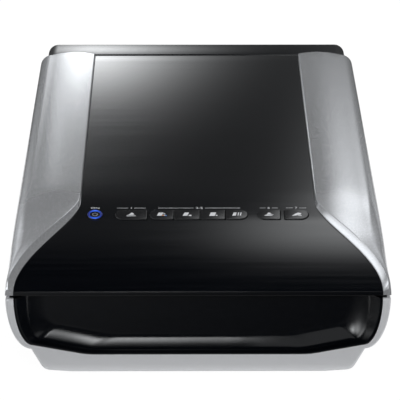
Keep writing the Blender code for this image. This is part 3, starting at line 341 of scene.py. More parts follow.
boardGreen = plainFinish("boardGreen", (0.012, 0.075, 0.03), (0.02, 0.11, 0.045), (0.38, 0.5), 240, bump=0.1)
nylonPale = plainFinish("nylonPale", (0.60, 0.59, 0.55), (0.68, 0.67, 0.63), (0.45, 0.55), 700, bump=0.05)
ribbonPale = plainFinish("ribbonPale", (0.62, 0.63, 0.64), (0.70, 0.71, 0.72), (0.4, 0.5), 60,
                         (30, 0.2, 0.2), bump=0.1)
mirrorFace = plainFinish("mirrorFace", (0.86, 0.87, 0.88), (0.9, 0.91, 0.92), (0.02, 0.04), 120, Metallic=1.0)
clearGlass = plainFinish("clearGlass", (0.80, 0.88, 0.85), (0.84, 0.91, 0.88), (0.02, 0.03), 40,
                         Transmission_Weight=0.97, IOR=1.5)
printPale = plainFinish("printPale", (0.52, 0.53, 0.55), (0.62, 0.63, 0.65), (0.5, 0.6), 800)
printDim = plainFinish("printDim", (0.16, 0.17, 0.20), (0.22, 0.23, 0.26), (0.5, 0.6), 800)
printOrange = plainFinish("printOrange", (0.75, 0.22, 0.04), (0.82, 0.27, 0.06), (0.5, 0.6), 800)
printBlue = plainFinish("printBlue", (0.08, 0.22, 0.62), (0.11, 0.27, 0.7), (0.5, 0.6), 800)
goldContact = plainFinish("goldContact", (0.72, 0.5, 0.2), (0.8, 0.57, 0.25), (0.25, 0.32), 900, Metallic=1.0)
print("stage: materials")


# floor, background and lights

stageSetting = {
    "floorHalf": 9.0,
    "floorTone": (0.45, 0.45, 0.45),
    "shadowShare": 0.15,
    "ambient": 0.12,
    "ambientTint": (0.97, 0.98, 1.0, 1),
    "floorGlow": 1.14,
    "wallTint": (0.965, 0.985, 1.0, 1.0),
    "aim": (0, 0, 0.05),
}


def cameraSplit(tree, shown, hidden):
    path = addNode(tree, "ShaderNodeLightPath")
    first = addNode(tree, "ShaderNodeMath", operation="MAXIMUM")
    second = addNode(tree, "ShaderNodeMath", operation="MAXIMUM")
    tree.links.new(path.outputs["Is Camera Ray"], first.inputs[0])
    tree.links.new(path.outputs["Is Glossy Ray"], first.inputs[1])
    tree.links.new(first.outputs[0], second.inputs[0])
    tree.links.new(path.outputs["Is Transmission Ray"], second.inputs[1])
    mixed = addNode(tree, "ShaderNodeMixShader")
    tree.links.new(second.outputs[0], mixed.inputs[0])
    tree.links.new(hidden, mixed.inputs[1])
    tree.links.new(shown, mixed.inputs[2])
    return mixed.outputs[0]


def makeWorld():
    world = bpy.data.worlds.new("studio")
    scene.world = world
    world.use_nodes = True
    tree = world.node_tree
    shown = tree.nodes["Background"]
    shown.inputs["Color"].default_value = (1, 1, 1, 1)
    shown.inputs["Strength"].default_value = 1.0
    hidden = addNode(tree, "ShaderNodeBackground", Strength=stageSetting["ambient"])
    hidden.inputs["Color"].default_value = stageSetting["ambientTint"]
    split = cameraSplit(tree, shown.outputs[0], hidden.outputs[0])
    tree.links.new(split, tree.nodes["World Output"].inputs["Surface"])


def makeFloor():
    half = stageSetting["floorHalf"]
    points = [(x, y, 0) for x, y in rectangle((-half, -half), (half, half))]
    mat, tree, shader = newFinish("floorPale", Roughness=0.9, Specular_IOR_Level=0.0)
    shader.inputs["Base Color"].default_value = (*stageSetting["floorTone"], 1)
    glow = addNode(tree, "ShaderNodeEmission", Strength=stageSetting["floorGlow"])
    kept = addNode(tree, "ShaderNodeMixShader")
    kept.inputs[0].default_value = stageSetting["shadowShare"]
    tree.links.new(glow.outputs[0], kept.inputs[1])
    tree.links.new(shader.outputs[0], kept.inputs[2])
    showSurface(tree, cameraSplit(tree, kept.outputs[0], shader.outputs[0]))
    floor = makePiece("floor", points, [[0, 1, 2, 3]], mat)


# studio walls that only reflections see: axis across, place on it, reach along the other two, cells, tone
wallSettings = {
    "wallBack": ("y", 0.42, (-1.0, 1.0), (0.0, 0.9), (200, 90), 0.07),
    "wallTop": ("z", 0.9, (-1.0, 1.0), (-1.4, 0.42), (200, 90), 0.006),
    "wallLeft": ("x", -1.0, (-1.4, 0.42), (0.0, 0.9), (60, 30), 0.03),
    "wallRight": ("x", 1.0, (-1.4, 0.42), (0.0, 0.9), (60, 30), 0.03),
    "wallFront": ("y", -1.4, (-1.0, 1.0), (0.0, 0.9), (60, 30), 0.02),
    "clothFront": ("z", 0.0006, (-1.0, 1.0), (-1.4, -0.25), (60, 30), 0.006),
    "flagRight": ("z", 0.12, (0.041, 0.20), (-0.44, -0.26), (2, 2), 0.30),
}
# soft patches on the walls: wall, middle, reach down and up each axis, edges, strength (below 0 darkens)
glowSettings = {
    "cornerLeft": ("wallBack", (-0.100, 0.174), ((0.042, 0.066), (0.030, 0.035)), (1.6, 1.7), 5.2),
    "cornerLeftHigh": ("wallBack", (-0.160, 0.250), ((0.03, 0.035), (0.05, 0.05)), (2, 2), 0.9),
    "sheetLeft": ("wallBack", (-0.60, 0.13), ((0.35, 0.33), (0.05, 0.32)), (3, 3), 0.55),
    "shadeLeft": ("wallBack", (-0.10, 0.30), ((0.15, 0.12), (0.05, 0.06)), (3, 3), -0.05),
    "stripRight": ("wallBack", (0.25, 0.60), ((0.13, 0.05), (0.31, 0.60)), (4, 3), 1.8),
    "stripRightTop": ("wallTop", (0.19, 0.34), ((0.130, 0.10), (0.25, 0.50)), (3, 5), 2.1),
    "ceilingBack": ("wallTop", (0.0, 0.40), ((1.0, 1.0), (0.30, 0.50)), (4, 5), 0.08),
    "screenLeft": ("wallLeft", (-0.14, 0.42), ((0.5, 0.25), (0.34, 0.50)), (4, 4), 2.1),
    "screenLeftTop": ("wallTop", (-0.70, -0.08), ((0.26, 0.30), (0.20, 0.20)), (4, 4), 0.5),
    "screenFront": ("wallTop", (-0.088, -1.05), ((0.06, 0.072), (0.30, 0.25)), (1.5, 2), 7.5),
    "screenFrontRight": ("wallTop", (0.14, -1.15), ((0.036, 0.08), (0.30, 0.28)), (3, 2), 11.0),
    "screenCorner": ("wallLeft", (-1.10, 0.28), ((0.30, 0.35), (0.22, 0.30)), (2, 2), 3.6),
    "screenCornerFront": ("wallFront", (-0.88, 0.45), ((0.20, 0.18), (0.22, 0.25)), (2, 2), 8.0),
    "sheetRight": ("wallBack", (0.42, 0.16), ((0.10, 0.30), (0.09, 0.09)), (3, 2), 0.6),
    "tipRight": ("wallTop", (0.46, 0.22), ((0.14, 0.20), (0.15, 0.20)), (3, 3), 0.75),
    "tipLeft": ("wallTop", (-0.48, 0.30), ((0.25, 0.12), (0.12, 0.20)), (3, 3), 0.70),
    "tipLeftBack": ("wallBack", (-0.68, 0.64), ((0.20, 0.20), (0.20, 0.30)), (3, 3), 1.2),
    "tipRightBack": ("wallBack", (0.70, 0.68), ((0.20, 0.20), (0.20, 0.30)), (3, 3), 0.30),
    "clothLeft": ("clothFront", (-0.30, -0.55), ((0.40, 0.30), (0.35, 0.30)), (2, 2), 0.22),
}


def glowShare(distance, reach, edge):
    return math.exp(-(abs(distance) / reach[0 if distance < 0 else 1]) ** edge)


def wallTone(name, baseTone, a, b):
    tone = baseTone
    for wall, middle, reach, edges, strength in glowSettings.values():
        if wall == name:
            first = glowShare(a - middle[0], reach[0], edges[0])
            tone += strength * first * glowShare(b - middle[1], reach[1], edges[1])
    return tone


def makeWall(name):
    axis, place, first, second, cells, baseTone = wallSettings[name]
    order = axisOrders[axis]
    spots = [(a, b) for a in spread(*first, cells[0]) for b in spread(*second, cells[1])]
    rows = cells[1] + 1
    starts = [i * rows + k for i in range(cells[0]) for k in range(cells[1])]
    faces = [[i, i + rows, i + rows + 1, i + 1] for i in starts]
    mat, tree, _ = newFinish(name)
    tone = addNode(tree, "ShaderNodeAttribute", attribute_name="tone")
    glow = addNode(tree, "ShaderNodeEmission", Color=stageSetting["wallTint"])
    tree.links.new(tone.outputs["Fac"], glow.inputs["Strength"])
    showSurface(tree, glow.outputs[0])
    wall = makePiece(name, [order(a, b, place) for a, b in spots], faces, mat)
    tones = wall.data.attributes.new("tone", "FLOAT", "POINT")
    tones.data.foreach_set("value", [wallTone(name, baseTone, a, b) for a, b in spots])
    wall.visible_camera = wall.visible_diffuse = wall.visible_shadow = wall.visible_transmission = False


lampSettings = {  # place, size, power
    "lampTop": ((0, -0.1, 1.7), 0.9, 12),
    "lampLeft": ((-1.6, 0, 0.7), 0.8, 2),
    "lampRight": ((1.6, 0, 0.7), 0.8, 3.5),
    "lampBack": ((-0.2, 1.7, 0.7), 0.9, 11),
    "lampFront": ((0.5, -1.9, 0.80), 0.9, 25),
}


def makeLamp(name):
    place, size, power = lampSettings[name]
    data = bpy.data.lights.new(name, "AREA")
    data.shape, data.size, data.energy = "SQUARE", size, power
    lamp = bpy.data.objects.new(name, data)
    lamp.location = place
    lamp.rotation_euler = (Vector(stageSetting["aim"]) - Vector(place)).to_track_quat("-Z", "Y").to_euler()
    lamp.visible_glossy = lamp.visible_camera = False  # the walls give the reflections
    scene.collection.objects.link(lamp)


makeWorld()
makeFloor()
for wallName in wallSettings:
    makeWall(wallName)
for lampName in lampSettings:
    makeLamp(lampName)
print("stage: light")


# lid: shared curves

lidShape = {
    "depth": 0.436, "seamZ": 0.060, "skirtZ": 0.06135,
    "panelHalf": 0.085, "frontHalf": 0.130, "flare": 0.090,
    "lipRise": 0.004, "topRise": 0.041, "backRise": 0.047, "fall": 0.102, "power": 1.55,
    "wall": 0.0025, "fit": 0.0003,
    "blend": 0.016, "blendStart": 0.060, "blendReach": 0.030, "blendSteps": 4, "slopeStep": 0.0005,
}
lidSpans = ((0.0, 0.024, 16), (0.024, 0.090, 33), (0.090, 0.110, 16), (0.110, 0.432, 23))
lidStations = [d for span in lidSpans for d in spread(*span)[:-1]]


def panelEdge(d):
    widening = lidShape["frontHalf"] - lidShape["panelHalf"]
    return lidShape["panelHalf"] + widening * (1 - easeShare(d / lidShape["flare"]))


def plainRise(d):
    lip, top, fall = lidShape["lipRise"], lidShape["topRise"], lidShape["fall"]
    if d >= fall:
        return top + (d - fall) * (lidShape["backRise"] - top) / (lidShape["depth"] - fall)
    return lip + (top - lip) * (1 - (1 - d / fall) ** lidShape["power"])


def panelRise(d):
    steps = lidShape["blendSteps"]
    reach = lidShape["blend"] * easeShare((d - lidShape["blendStart"]) / lidShape["blendReach"])
    if d > lidShape["fall"] + 2 * lidShape["blend"]:  # past the roll from fall to flat top
        reach = 0.0
    return sum(plainRise(d + reach * k / steps) for k in range(-steps, steps + 1)) / (2 * steps + 1)


def panelSlope(d):
    low, high = max(d - lidShape["slopeStep"], 0.0), d + lidShape["slopeStep"]
    return math.atan2(panelRise(high) - panelRise(low), high - low)


def panelZ(d):
    return lidShape["seamZ"] + panelRise(d)


def onPanel(x, d, above):
    slope = panelSlope(d)
    return (x, at(d - above * math.sin(slope)), panelZ(d) + above * math.cos(slope))


# button row

rowShape = {
    "middle": 0.072, "fit": 0.0004, "proud": 0.0006,
    "leastRadius": 0.0002, "roundShare": 0.999, "roundSteps": 8,
}
rowSlope = panelSlope(rowShape["middle"])
pill, square, disc = 0.0059, 0.0008, 0.0056  # radii: round end, square end, power button
buttonShapes = {  # left end, right end, half its height, corner radius at left and right
    "power_button": (-0.08005, -0.06885, disc, disc, disc),
    "auto_button": (-0.05995, -0.03675, pill, pill, square),
    "document_button_1": (-0.03505, -0.01755, pill, pill, square),
    "document_button_2": (-0.01715, 0.00135, pill, square, square),
    "document_button_3": (0.00175, 0.01965, pill, square, square),
    "document_button_4": (0.02005, 0.03605, pill, square, pill),
    "copy_button": (0.04325, 0.05975, pill, pill, square),
    "mail_button": (0.06265, 0.08005, pill, square, pill),
}


def buttonMiddle(name):
    return (buttonShapes[name][0] + buttonShapes[name][1]) / 2


def rowPoint(x, along, above):
    out = rowShape["middle"] + along * math.cos(rowSlope) - above * math.sin(rowSlope)
    rise = panelRise(rowShape["middle"]) + along * math.sin(rowSlope) + above * math.cos(rowSlope)
    return (x, at(out), lidShape["seamZ"] + rise)


def pillOutline(start, end, half, leftR, rightR, grow):
    outline, half = [], half + grow
    left, right = start - grow, end + grow
    corners = ((right, -1, rightR, -90), (right, 1, rightR, 0), (left, 1, leftR, 90), (left, -1, leftR, 180))
    for x, side, radius, first in corners:
        radius = max(min(radius + grow, half * rowShape["roundShare"]), rowShape["leastRadius"])
        cx = x - radius if first < 90 else x + radius
        cu = side * (half - radius)
        for turn in quarter(rowShape["roundSteps"]):
            outline.append((cx + radius * cosOf(first + turn), cu + radius * sinOf(first + turn)))
    return outline


def rowLoft(name, levels, shape, material=None):
    outlines = [(n, pillOutline(*shape, grow)) for n, grow in levels]
    return loftRings(name, [[rowPoint(a, u, n) for a, u in outline] for n, outline in outlines], material)


# lid: top panel

panelShape = {
    "lipRound": (0.0007, 4), "backRound": (0.0018, 6), "backGuide": 0.004, "backDrop": 0.0035,
    "backWall": 0.002, "hole": (-0.006, 0.004), "smooth": 26,
}


def makePanel():
    skirt, wall, depth = lidShape["skirtZ"], lidShape["wall"], lidShape["depth"]
    lip = (0.0, lidShape["seamZ"] + lidShape["lipRise"])
    second = (lidStations[1], panelZ(lidStations[1]))
    backZ = panelZ(depth)
    outer = [(0.0, skirt)] + cornerArc((0.0, skirt), lip, second, *panelShape["lipRound"])
    outer += [(d, panelZ(d)) for d in lidStations[1:]]
    guide = (depth, backZ - panelShape["backGuide"])
    outer += cornerArc(outer[-1], (depth, backZ), guide, *panelShape["backRound"])
    outer.append((depth, backZ - panelShape["backDrop"]))
    inner = [(depth - panelShape["backWall"], backZ - panelShape["backDrop"])]
    for d in reversed(lidStations[3:]):
        slope = panelSlope(d)
        inner.append((d + wall * math.sin(slope), panelZ(d) - wall * math.cos(slope)))
    inner.append((wall, skirt))
    sides = [[(side * panelEdge(max(d, 0.0)), at(d), z) for d, z in outer + inner] for side in (-1, 1)]
    panel = loftRings("lidTopPanel", sides, panelFilm)
    shapes = [buttonShapes[n] for n in ("power_button", "auto_button", "copy_button", "mail_button")]
    documents = (buttonShapes["document_button_1"][0], buttonShapes["document_button_4"][1])
    for shape in shapes + [(*documents, pill, pill, pill)]:
        carve(panel, rowLoft("hole", [(n, rowShape["fit"]) for n in panelShape["hole"]], shape))
    shade(panel, panelShape["smooth"])
    settle(panel, "lid", "lid_panel", "lid_top_panel")


makePanel()
print("stage: lid panel")


# lid: side wings

wingShape = {
    "half": 0.136, "draft": 0.0048, "wall": 0.0025, "solidFront": 0.045,
    "step": 0.0025, "frontStep": 0.0060, "frontStart": 0.038, "frontReach": 0.072,
    "band": 0.0024, "bandShares": (0.3, 0.7, 0.5), "tipShare": 0.22,  # of the band: all along, front, tip
    "drop": 0.001, "crown": 0.0020, "firstShare": 0.12, "topSteps": 10,
    "roll": 0.010, "rollShare": 0.6, "rollSteps": 12,
    "ledge": 0.0007, "ledgeLift": 0.6, "creaseRound": (0.0009, 5),
    "backRound": 0.004, "tipRound": 0.0050, "roundSteps": 6,
    "flangeDrop": 4, "inward": 0.4, "smooth": 40,
}


def roundLoss(radius, past):
    return radius - math.sqrt(max(radius ** 2 - past ** 2, 0.0))


def wingSection(d):
    s = wingShape
    edge = panelEdge(d) + lidShape["fit"]
    front = 1 - easeShare((d - s["frontStart"]) / s["frontReach"])
    tip = 1 - easeShare(d / (lidShape["flare"] * s["tipShare"]))
    step = s["step"] + (s["frontStep"] - s["step"]) * front
    lower = roundLoss(s["backRound"], max(d - (lidShape["depth"] - s["backRound"]), 0.0))
    lower += roundLoss(s["tipRound"], max(s["tipRound"] - d, 0.0))
    creaseZ = panelZ(d) + step - lower
    allAlong, atFront, atTip = s["bandShares"]
    crease = edge + s["band"] * (allAlong + atFront * front + atTip * tip)
    high = (panelRise(d) - lidShape["lipRise"]) / (lidShape["backRise"] - lidShape["lipRise"])
    outer = s["half"] - s["draft"] * high
    shoulderZ = creaseZ - s["drop"]
    roll = min(s["roll"], s["rollShare"] * (outer - crease))
    fall = min(s["roll"], s["rollShare"] * (shoulderZ - lidShape["skirtZ"]))
    crown = s["crown"] * (1 - front)
    top = []
    for t in [0.0] + spread(s["firstShare"], 1.0, s["topSteps"]):
        z = creaseZ + crown * 4 * t * (1 - t) - s["drop"] * t
        top.append((crease + (outer - roll - crease) * t, z))
    wallTop = (edge, min(panelZ(d), creaseZ))
    ledge = (edge + s["ledge"] * front, wallTop[1] + s["ledgeLift"] * s["ledge"] * front)
    section = [(edge, lidShape["skirtZ"]), wallTop, ledge]
    section += cornerArc(ledge, top[0], top[1], *s["creaseRound"])
    section += top[2:-1]
    for turn in quarter(s["rollSteps"]):
        section.append((outer - roll + roll * sinOf(turn), shoulderZ - fall + fall * cosOf(turn)))
    section.append((s["half"], lidShape["skirtZ"]))
    return section


def wingHollow(d):
    section, wall = wingSection(d), wingShape["wall"]
    edge, low = section[0][0], lidShape["skirtZ"] - wall
    flange = section[1][1] - wingShape["flangeDrop"] * wall
    hollow = [(edge - wall, low), (edge - wall, flange)]
    hollow += [(edge + wall, flange), (edge + wall, section[5][1] - wall)]
    hollow += [(x - wall * wingShape["inward"], z - wall) for x, z in section[11:25:2]]  # under the top
    hollow += [(section[-2][0] - wall, section[-2][1] - wall), (section[-1][0] - wall, low)]
    return hollow


def makeWing(side, name, node):
    s = wingShape
    back, turns = lidShape["depth"] - s["backRound"], quarter(s["roundSteps"])
    rounds = [back + s["backRound"] * sinOf(turn) for turn in turns[1:]]
    tips = [s["tipRound"] * (1 - cosOf(turn)) for turn in turns[:-1]]
    stations = tips + [d for d in lidStations if d > s["tipRound"]] + [back] + rounds
    inside = [d for d in lidStations if d >= s["solidFront"]] + [back - s["wall"]]

    def loft(pieceName, sectionAt, places, material=None):
        sections = [(d, [(side * x, z) for x, z in sectionAt(d)]) for d in places]
        return loftSections(pieceName, sections, material)

    wing = loft(name, wingSection, stations, silverPaint)
    carve(wing, loft("hollow", wingHollow, inside))
    shade(wing, s["smooth"])
    settle(wing, "lid", "silver_shell", node)


makeWing(-1, "lidWingLeft", "lid_wing_left")
makeWing(1, "lidWingRight", "lid_wing_right")
print("stage: wings")


# buttons

buttonSetting = {"edge": 0.0005, "edgeSteps": 4, "skirt": 0.0030, "smooth": 50}
ringSetting = {
    "radius": 0.0046, "thick": 0.0008, "flat": 0.5, "above": 0.0001, "count": 48, "sides": 10, "smooth": 60,
    "base": (0.004, 0.008, 0.05, 1), "dim": (0.0, 0.006, 0.11), "bright": (0.03, 0.13, 0.80),
    "reach": 0.0050, "toneReach": (0.1, 0.9),
}
powerX = buttonMiddle("power_button")


def makeButton(name):
    top, edge = rowShape["proud"] - buttonSetting["edge"], buttonSetting["edge"]
    levels = [(-buttonSetting["skirt"], 0.0), (top, 0.0)]
    for turn in quarter(buttonSetting["edgeSteps"])[1:]:
        levels.append((top + edge * sinOf(turn), -edge * (1 - cosOf(turn))))
    cap = rowLoft(name + "_cap", levels, buttonShapes[name], buttonBlack)
    shade(cap, buttonSetting["smooth"])
    settle(cap, name, "button_black", name)


# The ring's blue glow is a real lamp, but its extra brightness above and below the middle is a painted
# highlight.
def ringGlowHighlight():
    mat, tree, shader = newFinish("blueGlowHighlight", Roughness=0.3, Emission_Strength=1.0)
    shader.inputs["Base Color"].default_value = ringSetting["base"]
    coord = addNode(tree, "ShaderNodeTexCoord")
    apart = addNode(tree, "ShaderNodeSeparateXYZ")
    away = addNode(tree, "ShaderNodeMath", operation="SUBTRACT")
    size = addNode(tree, "ShaderNodeMath", operation="ABSOLUTE")
    share = addNode(tree, "ShaderNodeMapRange")
    away.inputs[1].default_value = powerX
    share.inputs["From Max"].default_value = ringSetting["reach"]
    share.inputs["To Min"].default_value, share.inputs["To Max"].default_value = 1.0, 0.0
    tree.links.new(coord.outputs["Object"], apart.inputs[0])
    tree.links.new(apart.outputs["X"], away.inputs[0])
    tree.links.new(away.outputs[0], size.inputs[0])
    tree.links.new(size.outputs[0], share.inputs["Value"])
    toned(tree, share.outputs["Result"], shader.inputs["Emission Color"],
          ringSetting["dim"], ringSetting["bright"], ringSetting["toneReach"])  # painted highlight: the real glow is made brightest above and below
    return mat


def makeRing():
    count, sides, thick = ringSetting["count"], ringSetting["sides"], ringSetting["thick"]
    high = rowShape["proud"] + ringSetting["above"]
    points, faces = [], []
    for i in range(count):
        t, j = 2 * math.pi * i / count, (i + 1) % count
        for k in range(sides):
            s, m = 2 * math.pi * k / sides, (k + 1) % sides
            r = ringSetting["radius"] + thick * math.cos(s)
            above = high + thick * ringSetting["flat"] * math.sin(s)
            points.append(rowPoint(powerX + r * math.cos(t), r * math.sin(t), above))
            faces.append([i * sides + k, j * sides + k, j * sides + m, i * sides + m])
    ring = makePiece("power_ring", points, faces, ringGlowHighlight())
    shade(ring, ringSetting["smooth"])
    settle(ring, "power_button", "button_black")


for nodeName in buttonShapes:
    makeButton(nodeName)
makeRing()
print("stage: buttons")


# base: case and finger recess

baseShape = {
    "depth": 0.480, "half": 0.136, "rimZ": 0.05865, "rim": 0.002, "rimSteps": 6, "wall": 0.0028,
    "edge": 0.0022, "edgeSteps": 6, "smooth": 30,
    "creaseHalf": 0.1185, "creaseZ": 0.0202, "sideTurns": [90 - 3.5 * i for i in range(25)],
    "chinHalf": 0.1095, "chinShare": 0.6, "kneeZ": 0.0042, "kneeRound": (0.008, 6),
    "bellyHalf": 0.090, "bellyZ": 0.0028, "bellyRound": (0.05, 4),
    "creaseInset": 0.6, "kneeInset": 0.8, "bellyInset": 0.6,  # shares of the inset
}
scoopShape = {
    "half": 0.1302, "bend": 0.1172, "bendRise": 0.0072, "sideTurns": [90 - 4.3 * i for i in range(21)],
    "flat": 0.079, "flatShare": 0.7, "flatRound": (0.06, 7), "floor": 0.0164,
    "depth": 0.0155, "slant": 0.012, "corner": 0.008, "wall": 0.0012, "setback": 0.0008, "fit": 0.0003,
    "bends": ((-15, 42, 0.006), (42, 57, 0.026), (57, 90, 0.007)),  # floor to wall: from, to, radius
    "bendSteps": 8, "smooth": 40,
}
socketShape = {
    "z": 0.020, "fit": 0.0003,  # below: middle, width, height
    "film_unit_socket": (-0.044, 0.014, 0.009),
    "usb_port": (-0.013, 0.012, 0.011),
    "dc_jack": (0.030, 0.010, 0.011),
}
lockShape = {"travel": 0.008, "fit": 0.0004}


def flankPoints(inner, outer, lowZ, turns):
    rimZ = baseShape["rimZ"]
    return [(inner + (outer - inner) * cosOf(t), rimZ - (rimZ - lowZ) * sinOf(t)) for t in turns]


def hullOutline(inset, topZ, rim):
    s = baseShape
    half, low = s["half"] - inset, s["bellyZ"] + inset
    crease = (s["creaseHalf"] - inset, s["creaseZ"] + s["creaseInset"] * inset)
    knee = (s["chinHalf"] - s["kneeInset"] * inset, s["kneeZ"] + inset)
    start, turn = (s["chinHalf"] * s["chinShare"], low), (s["bellyHalf"] - s["bellyInset"] * inset, low)
    right = [start] + cornerArc(start, turn, knee, *s["bellyRound"])
    right += cornerArc(turn, knee, crease, *s["kneeRound"])
    right += flankPoints(crease[0], half, crease[1], s["sideTurns"])
    if rim:
        for t in quarter(s["rimSteps"])[1:]:
            right.append((half - rim + rim * cosOf(t), topZ - rim + rim * sinOf(t)))
    else:
        right.append((half, topZ))
    return mirrored(right)


def scoopOutline(inset, shrink, rise, topZ):
    s = scoopShape
    half, floor = s["half"] - inset - shrink, s["floor"] + inset + rise
    bend = (s["bend"] - inset - shrink, floor + s["bendRise"])
    flat = (s["flat"] - shrink, floor)
    start = (flat[0] * s["flatShare"], floor)
    right = [start] + cornerArc(start, flat, bend, *s["flatRound"])
    right += flankPoints(bend[0], half, bend[1], s["sideTurns"])
    right.append((half, topZ))
    return mirrored(right)


def scoopProfile():
    points = [(0.0, 0.0)]
    for start, end, radius in scoopShape["bends"]:
        (reach, rise), first = points[-1], math.radians(start)
        for turn in spread(first, math.radians(end), scoopShape["bendSteps"])[1:]:
            along = radius * (math.sin(turn) - math.sin(first))
            points.append((reach + along, rise + radius * (math.cos(first) - math.cos(turn))))
    flat = scoopShape["depth"] - points[-1][0]
    fall = flat * math.tan(math.radians(scoopShape["bends"][0][0]))
    return [(flat + reach, fall + rise) for reach, rise in points]


def scoopLoft(name, inset, start, deeper, topZ, material=None):
    s = scoopShape
    rings = [(start, start * s["slant"] / s["depth"], 0.0)]
    for reach, rise in scoopProfile():
        turn = roundLoss(s["corner"], max(reach - s["depth"] + s["corner"], 0.0))
        rings.append((reach + deeper, reach * s["slant"] / s["depth"] + turn, rise))
    sections = [(d, scoopOutline(inset, shrink, rise, topZ)) for d, shrink, rise in rings]
    return loftSections(name, sections, material)


def carveBack(case, low, high, fit):
    wall, depth = baseShape["wall"], baseShape["depth"]
    start = (low[0] - fit, at(depth - 2 * wall), low[1] - fit)
    carve(case, boxOf("hole", start, (high[0] + fit, at(depth + wall), high[1] + fit)))


def makeCase():
    s = baseShape
    turns = reversed(quarter(s["edgeSteps"]))
    edges = [(s["edge"] * (1 - sinOf(t)), s["edge"] * (1 - cosOf(t))) for t in turns]
    rings = edges + [(s["depth"] - d, inset) for d, inset in reversed(edges)]
    sections = [(d, hullOutline(inset, s["rimZ"], s["rim"])) for d, inset in rings]
    case = loftSections("baseCase", sections, casePaint)
    over, wall = s["rimZ"] + s["wall"], s["wall"]
    room, mouth = hullOutline(wall, over, 0.0), scoopOutline(0.0, 0.0, 0.0, over)
    carve(case, loftSections("room", [(d, room) for d in (wall, s["depth"] - wall)]))
    carve(case, loftSections("mouth", [(d, mouth) for d in (-wall, 2 * wall)]))
    for name in ("film_unit_socket", "usb_port", "dc_jack"):
        x, wide, tall = socketShape[name]
        z = socketShape["z"]
        carveBack(case, (x - wide / 2, z - tall / 2), (x + wide / 2, z + tall / 2), socketShape["fit"])
    low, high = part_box("transport_lock")
    carveBack(case, (low[0], low[2]), (high[0] + lockShape["travel"], high[2]), lockShape["fit"])
    shade(case, s["smooth"])
    case.data.materials.append(trayGrey)
    middle = Vector((0, 0, s["rimZ"] / 2))
    for face in case.data.polygons:
        if face.normal.dot(face.center - middle) < 0:  # the inside is bare plastic
            face.material_index = 1
    settle(case, "base", "silver_shell", "base_tray")


def makeScoop():
    s, rimZ = scoopShape, baseShape["rimZ"]
    panel = scoopLoft("fingerScoop", s["fit"], s["setback"], s["wall"], rimZ, scoopBlack)
    carve(panel, scoopLoft("room", s["fit"] + s["wall"], -s["wall"], 0.0, rimZ + s["wall"]))
    shade(panel, s["smooth"])
    settle(panel, "base", "gloss_black", "front_panel")


makeCase()
makeScoop()
print("stage: base")


# rear housing

rearShape = {
    "half": 0.1265, "top": 0.105, "low": 0.05895, "front": 0.4445, "back": 0.4795,
    "corner": 0.0085, "leastCorner": 0.002, "cornerSteps": 12,
    "edge": 0.0015, "edgeSteps": 5, "soft": 0.006, "softSteps": 9, "smooth": 50,
}


def rearOutline(inset):
    s = rearShape
    half, top, radius = s["half"] - inset, s["top"] - inset, max(s["corner"] - inset, s["leastCorner"])
    right = [(half, s["low"])]
    for turn in quarter(s["cornerSteps"]):
        right.append((half - radius + radius * cosOf(turn), top - radius + radius * sinOf(turn)))
    return right + [(-x, z) for x, z in reversed(right)]


def makeRear():
    s = rearShape
    rings = []
    for turn in quarter(s["edgeSteps"]):
        rings.append((s["front"] + s["edge"] * (1 - cosOf(turn)), s["edge"] * (1 - sinOf(turn))))
    for turn in quarter(s["softSteps"]):
        rings.append((s["back"] - s["soft"] * (1 - sinOf(turn)), s["soft"] * (1 - cosOf(turn))))
    rear = loftSections("rearHousing", [(d, rearOutline(inset)) for d, inset in rings], glossBlack)
    shade(rear, s["smooth"])
    settle(rear, "base", "gloss_black", "rear_cover")


makeRear()
print("stage: rear housing")


# prints on the panel and on the caps

printSetting = {
    "low": -0.00015, "high": 0.00005, "labelRow": 0.0809, "labelTall": 0.0023,
    "capShare": 0.70, "stretch": 1.25, "extrude": 0.001, "curveSteps": 3, "weld": 0.0000004,
    "line": 0.00034, "lineCuts": 3, "gap": 0.0013, "letterGap": 0.0009, "iconScale": 0.00115,
}


def printPatch(name, outline, material, place, body):
    heights = (printSetting["low"], printSetting["high"])
    patch = loftRings(name, [[place(a, b, n) for a, b in outline] for n in heights], material)
    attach(patch, body)


def makeLabel(name, text, x):
    s = printSetting
    curve = bpy.data.curves.new(name, "FONT")
    curve.body, curve.size = text, s["labelTall"] / s["capShare"]
    curve.extrude, curve.resolution_u = s["extrude"], s["curveSteps"]
    curve.align_x, curve.align_y = "CENTER", "CENTER"
    holder = makeObject(name + "_curve", curve)
    bpy.context.view_layer.update()
    mesh = bpy.data.meshes.new_from_object(holder.evaluated_get(bpy.context.evaluated_depsgraph_get()))
    bpy.data.objects.remove(holder, do_unlink=True)
    bpy.data.curves.remove(curve)
    bm = bmesh.new()
    bm.from_mesh(mesh)
    bmesh.ops.remove_doubles(bm, verts=bm.verts, dist=s["weld"])
    for v in bm.verts:
        above = s["high"] if v.co.z > 0 else s["low"]
        v.co = onPanel(x + s["stretch"] * v.co.x, s["labelRow"] + v.co.y, above)
    bmesh.ops.recalc_face_normals(bm, faces=bm.faces)
    bm.to_mesh(mesh)
    bm.free()
    mesh.name = name
    mesh.materials.clear()
    mesh.materials.append(printPale)
    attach(makeObject(name, mesh), "lid")


def flankLine(name, start, end):
    d, half = printSetting["labelRow"], printSetting["line"] / 2
    cuts = spread(start, end, printSetting["lineCuts"])
    outline = [(x, d - half) for x in cuts] + [(x, d + half) for x in reversed(cuts)]
    printPatch(name, outline, printPale, onPanel, "lid")


labels = {  # text, middle, reach of the lines beside it
    "on": ("ON", -0.0745, 0.0),
    "auto": ("1", -0.0483, 0.0105),
    "documents": ("2-5", 0.0011, 0.0298),
    "copy": ("6", 0.0515, 0.0066),
    "mail": ("7", 0.0714, 0.0074),
}
for key, (text, x, reach) in labels.items():
    makeLabel("label_" + key, text, x)
    if reach:
        gap = printSetting["gap"] + printSetting["letterGap"] * len(text)
        flankLine("line_" + key + "_left", x - reach, x - gap)
        flankLine("line_" + key + "_right", x + gap, x + reach)

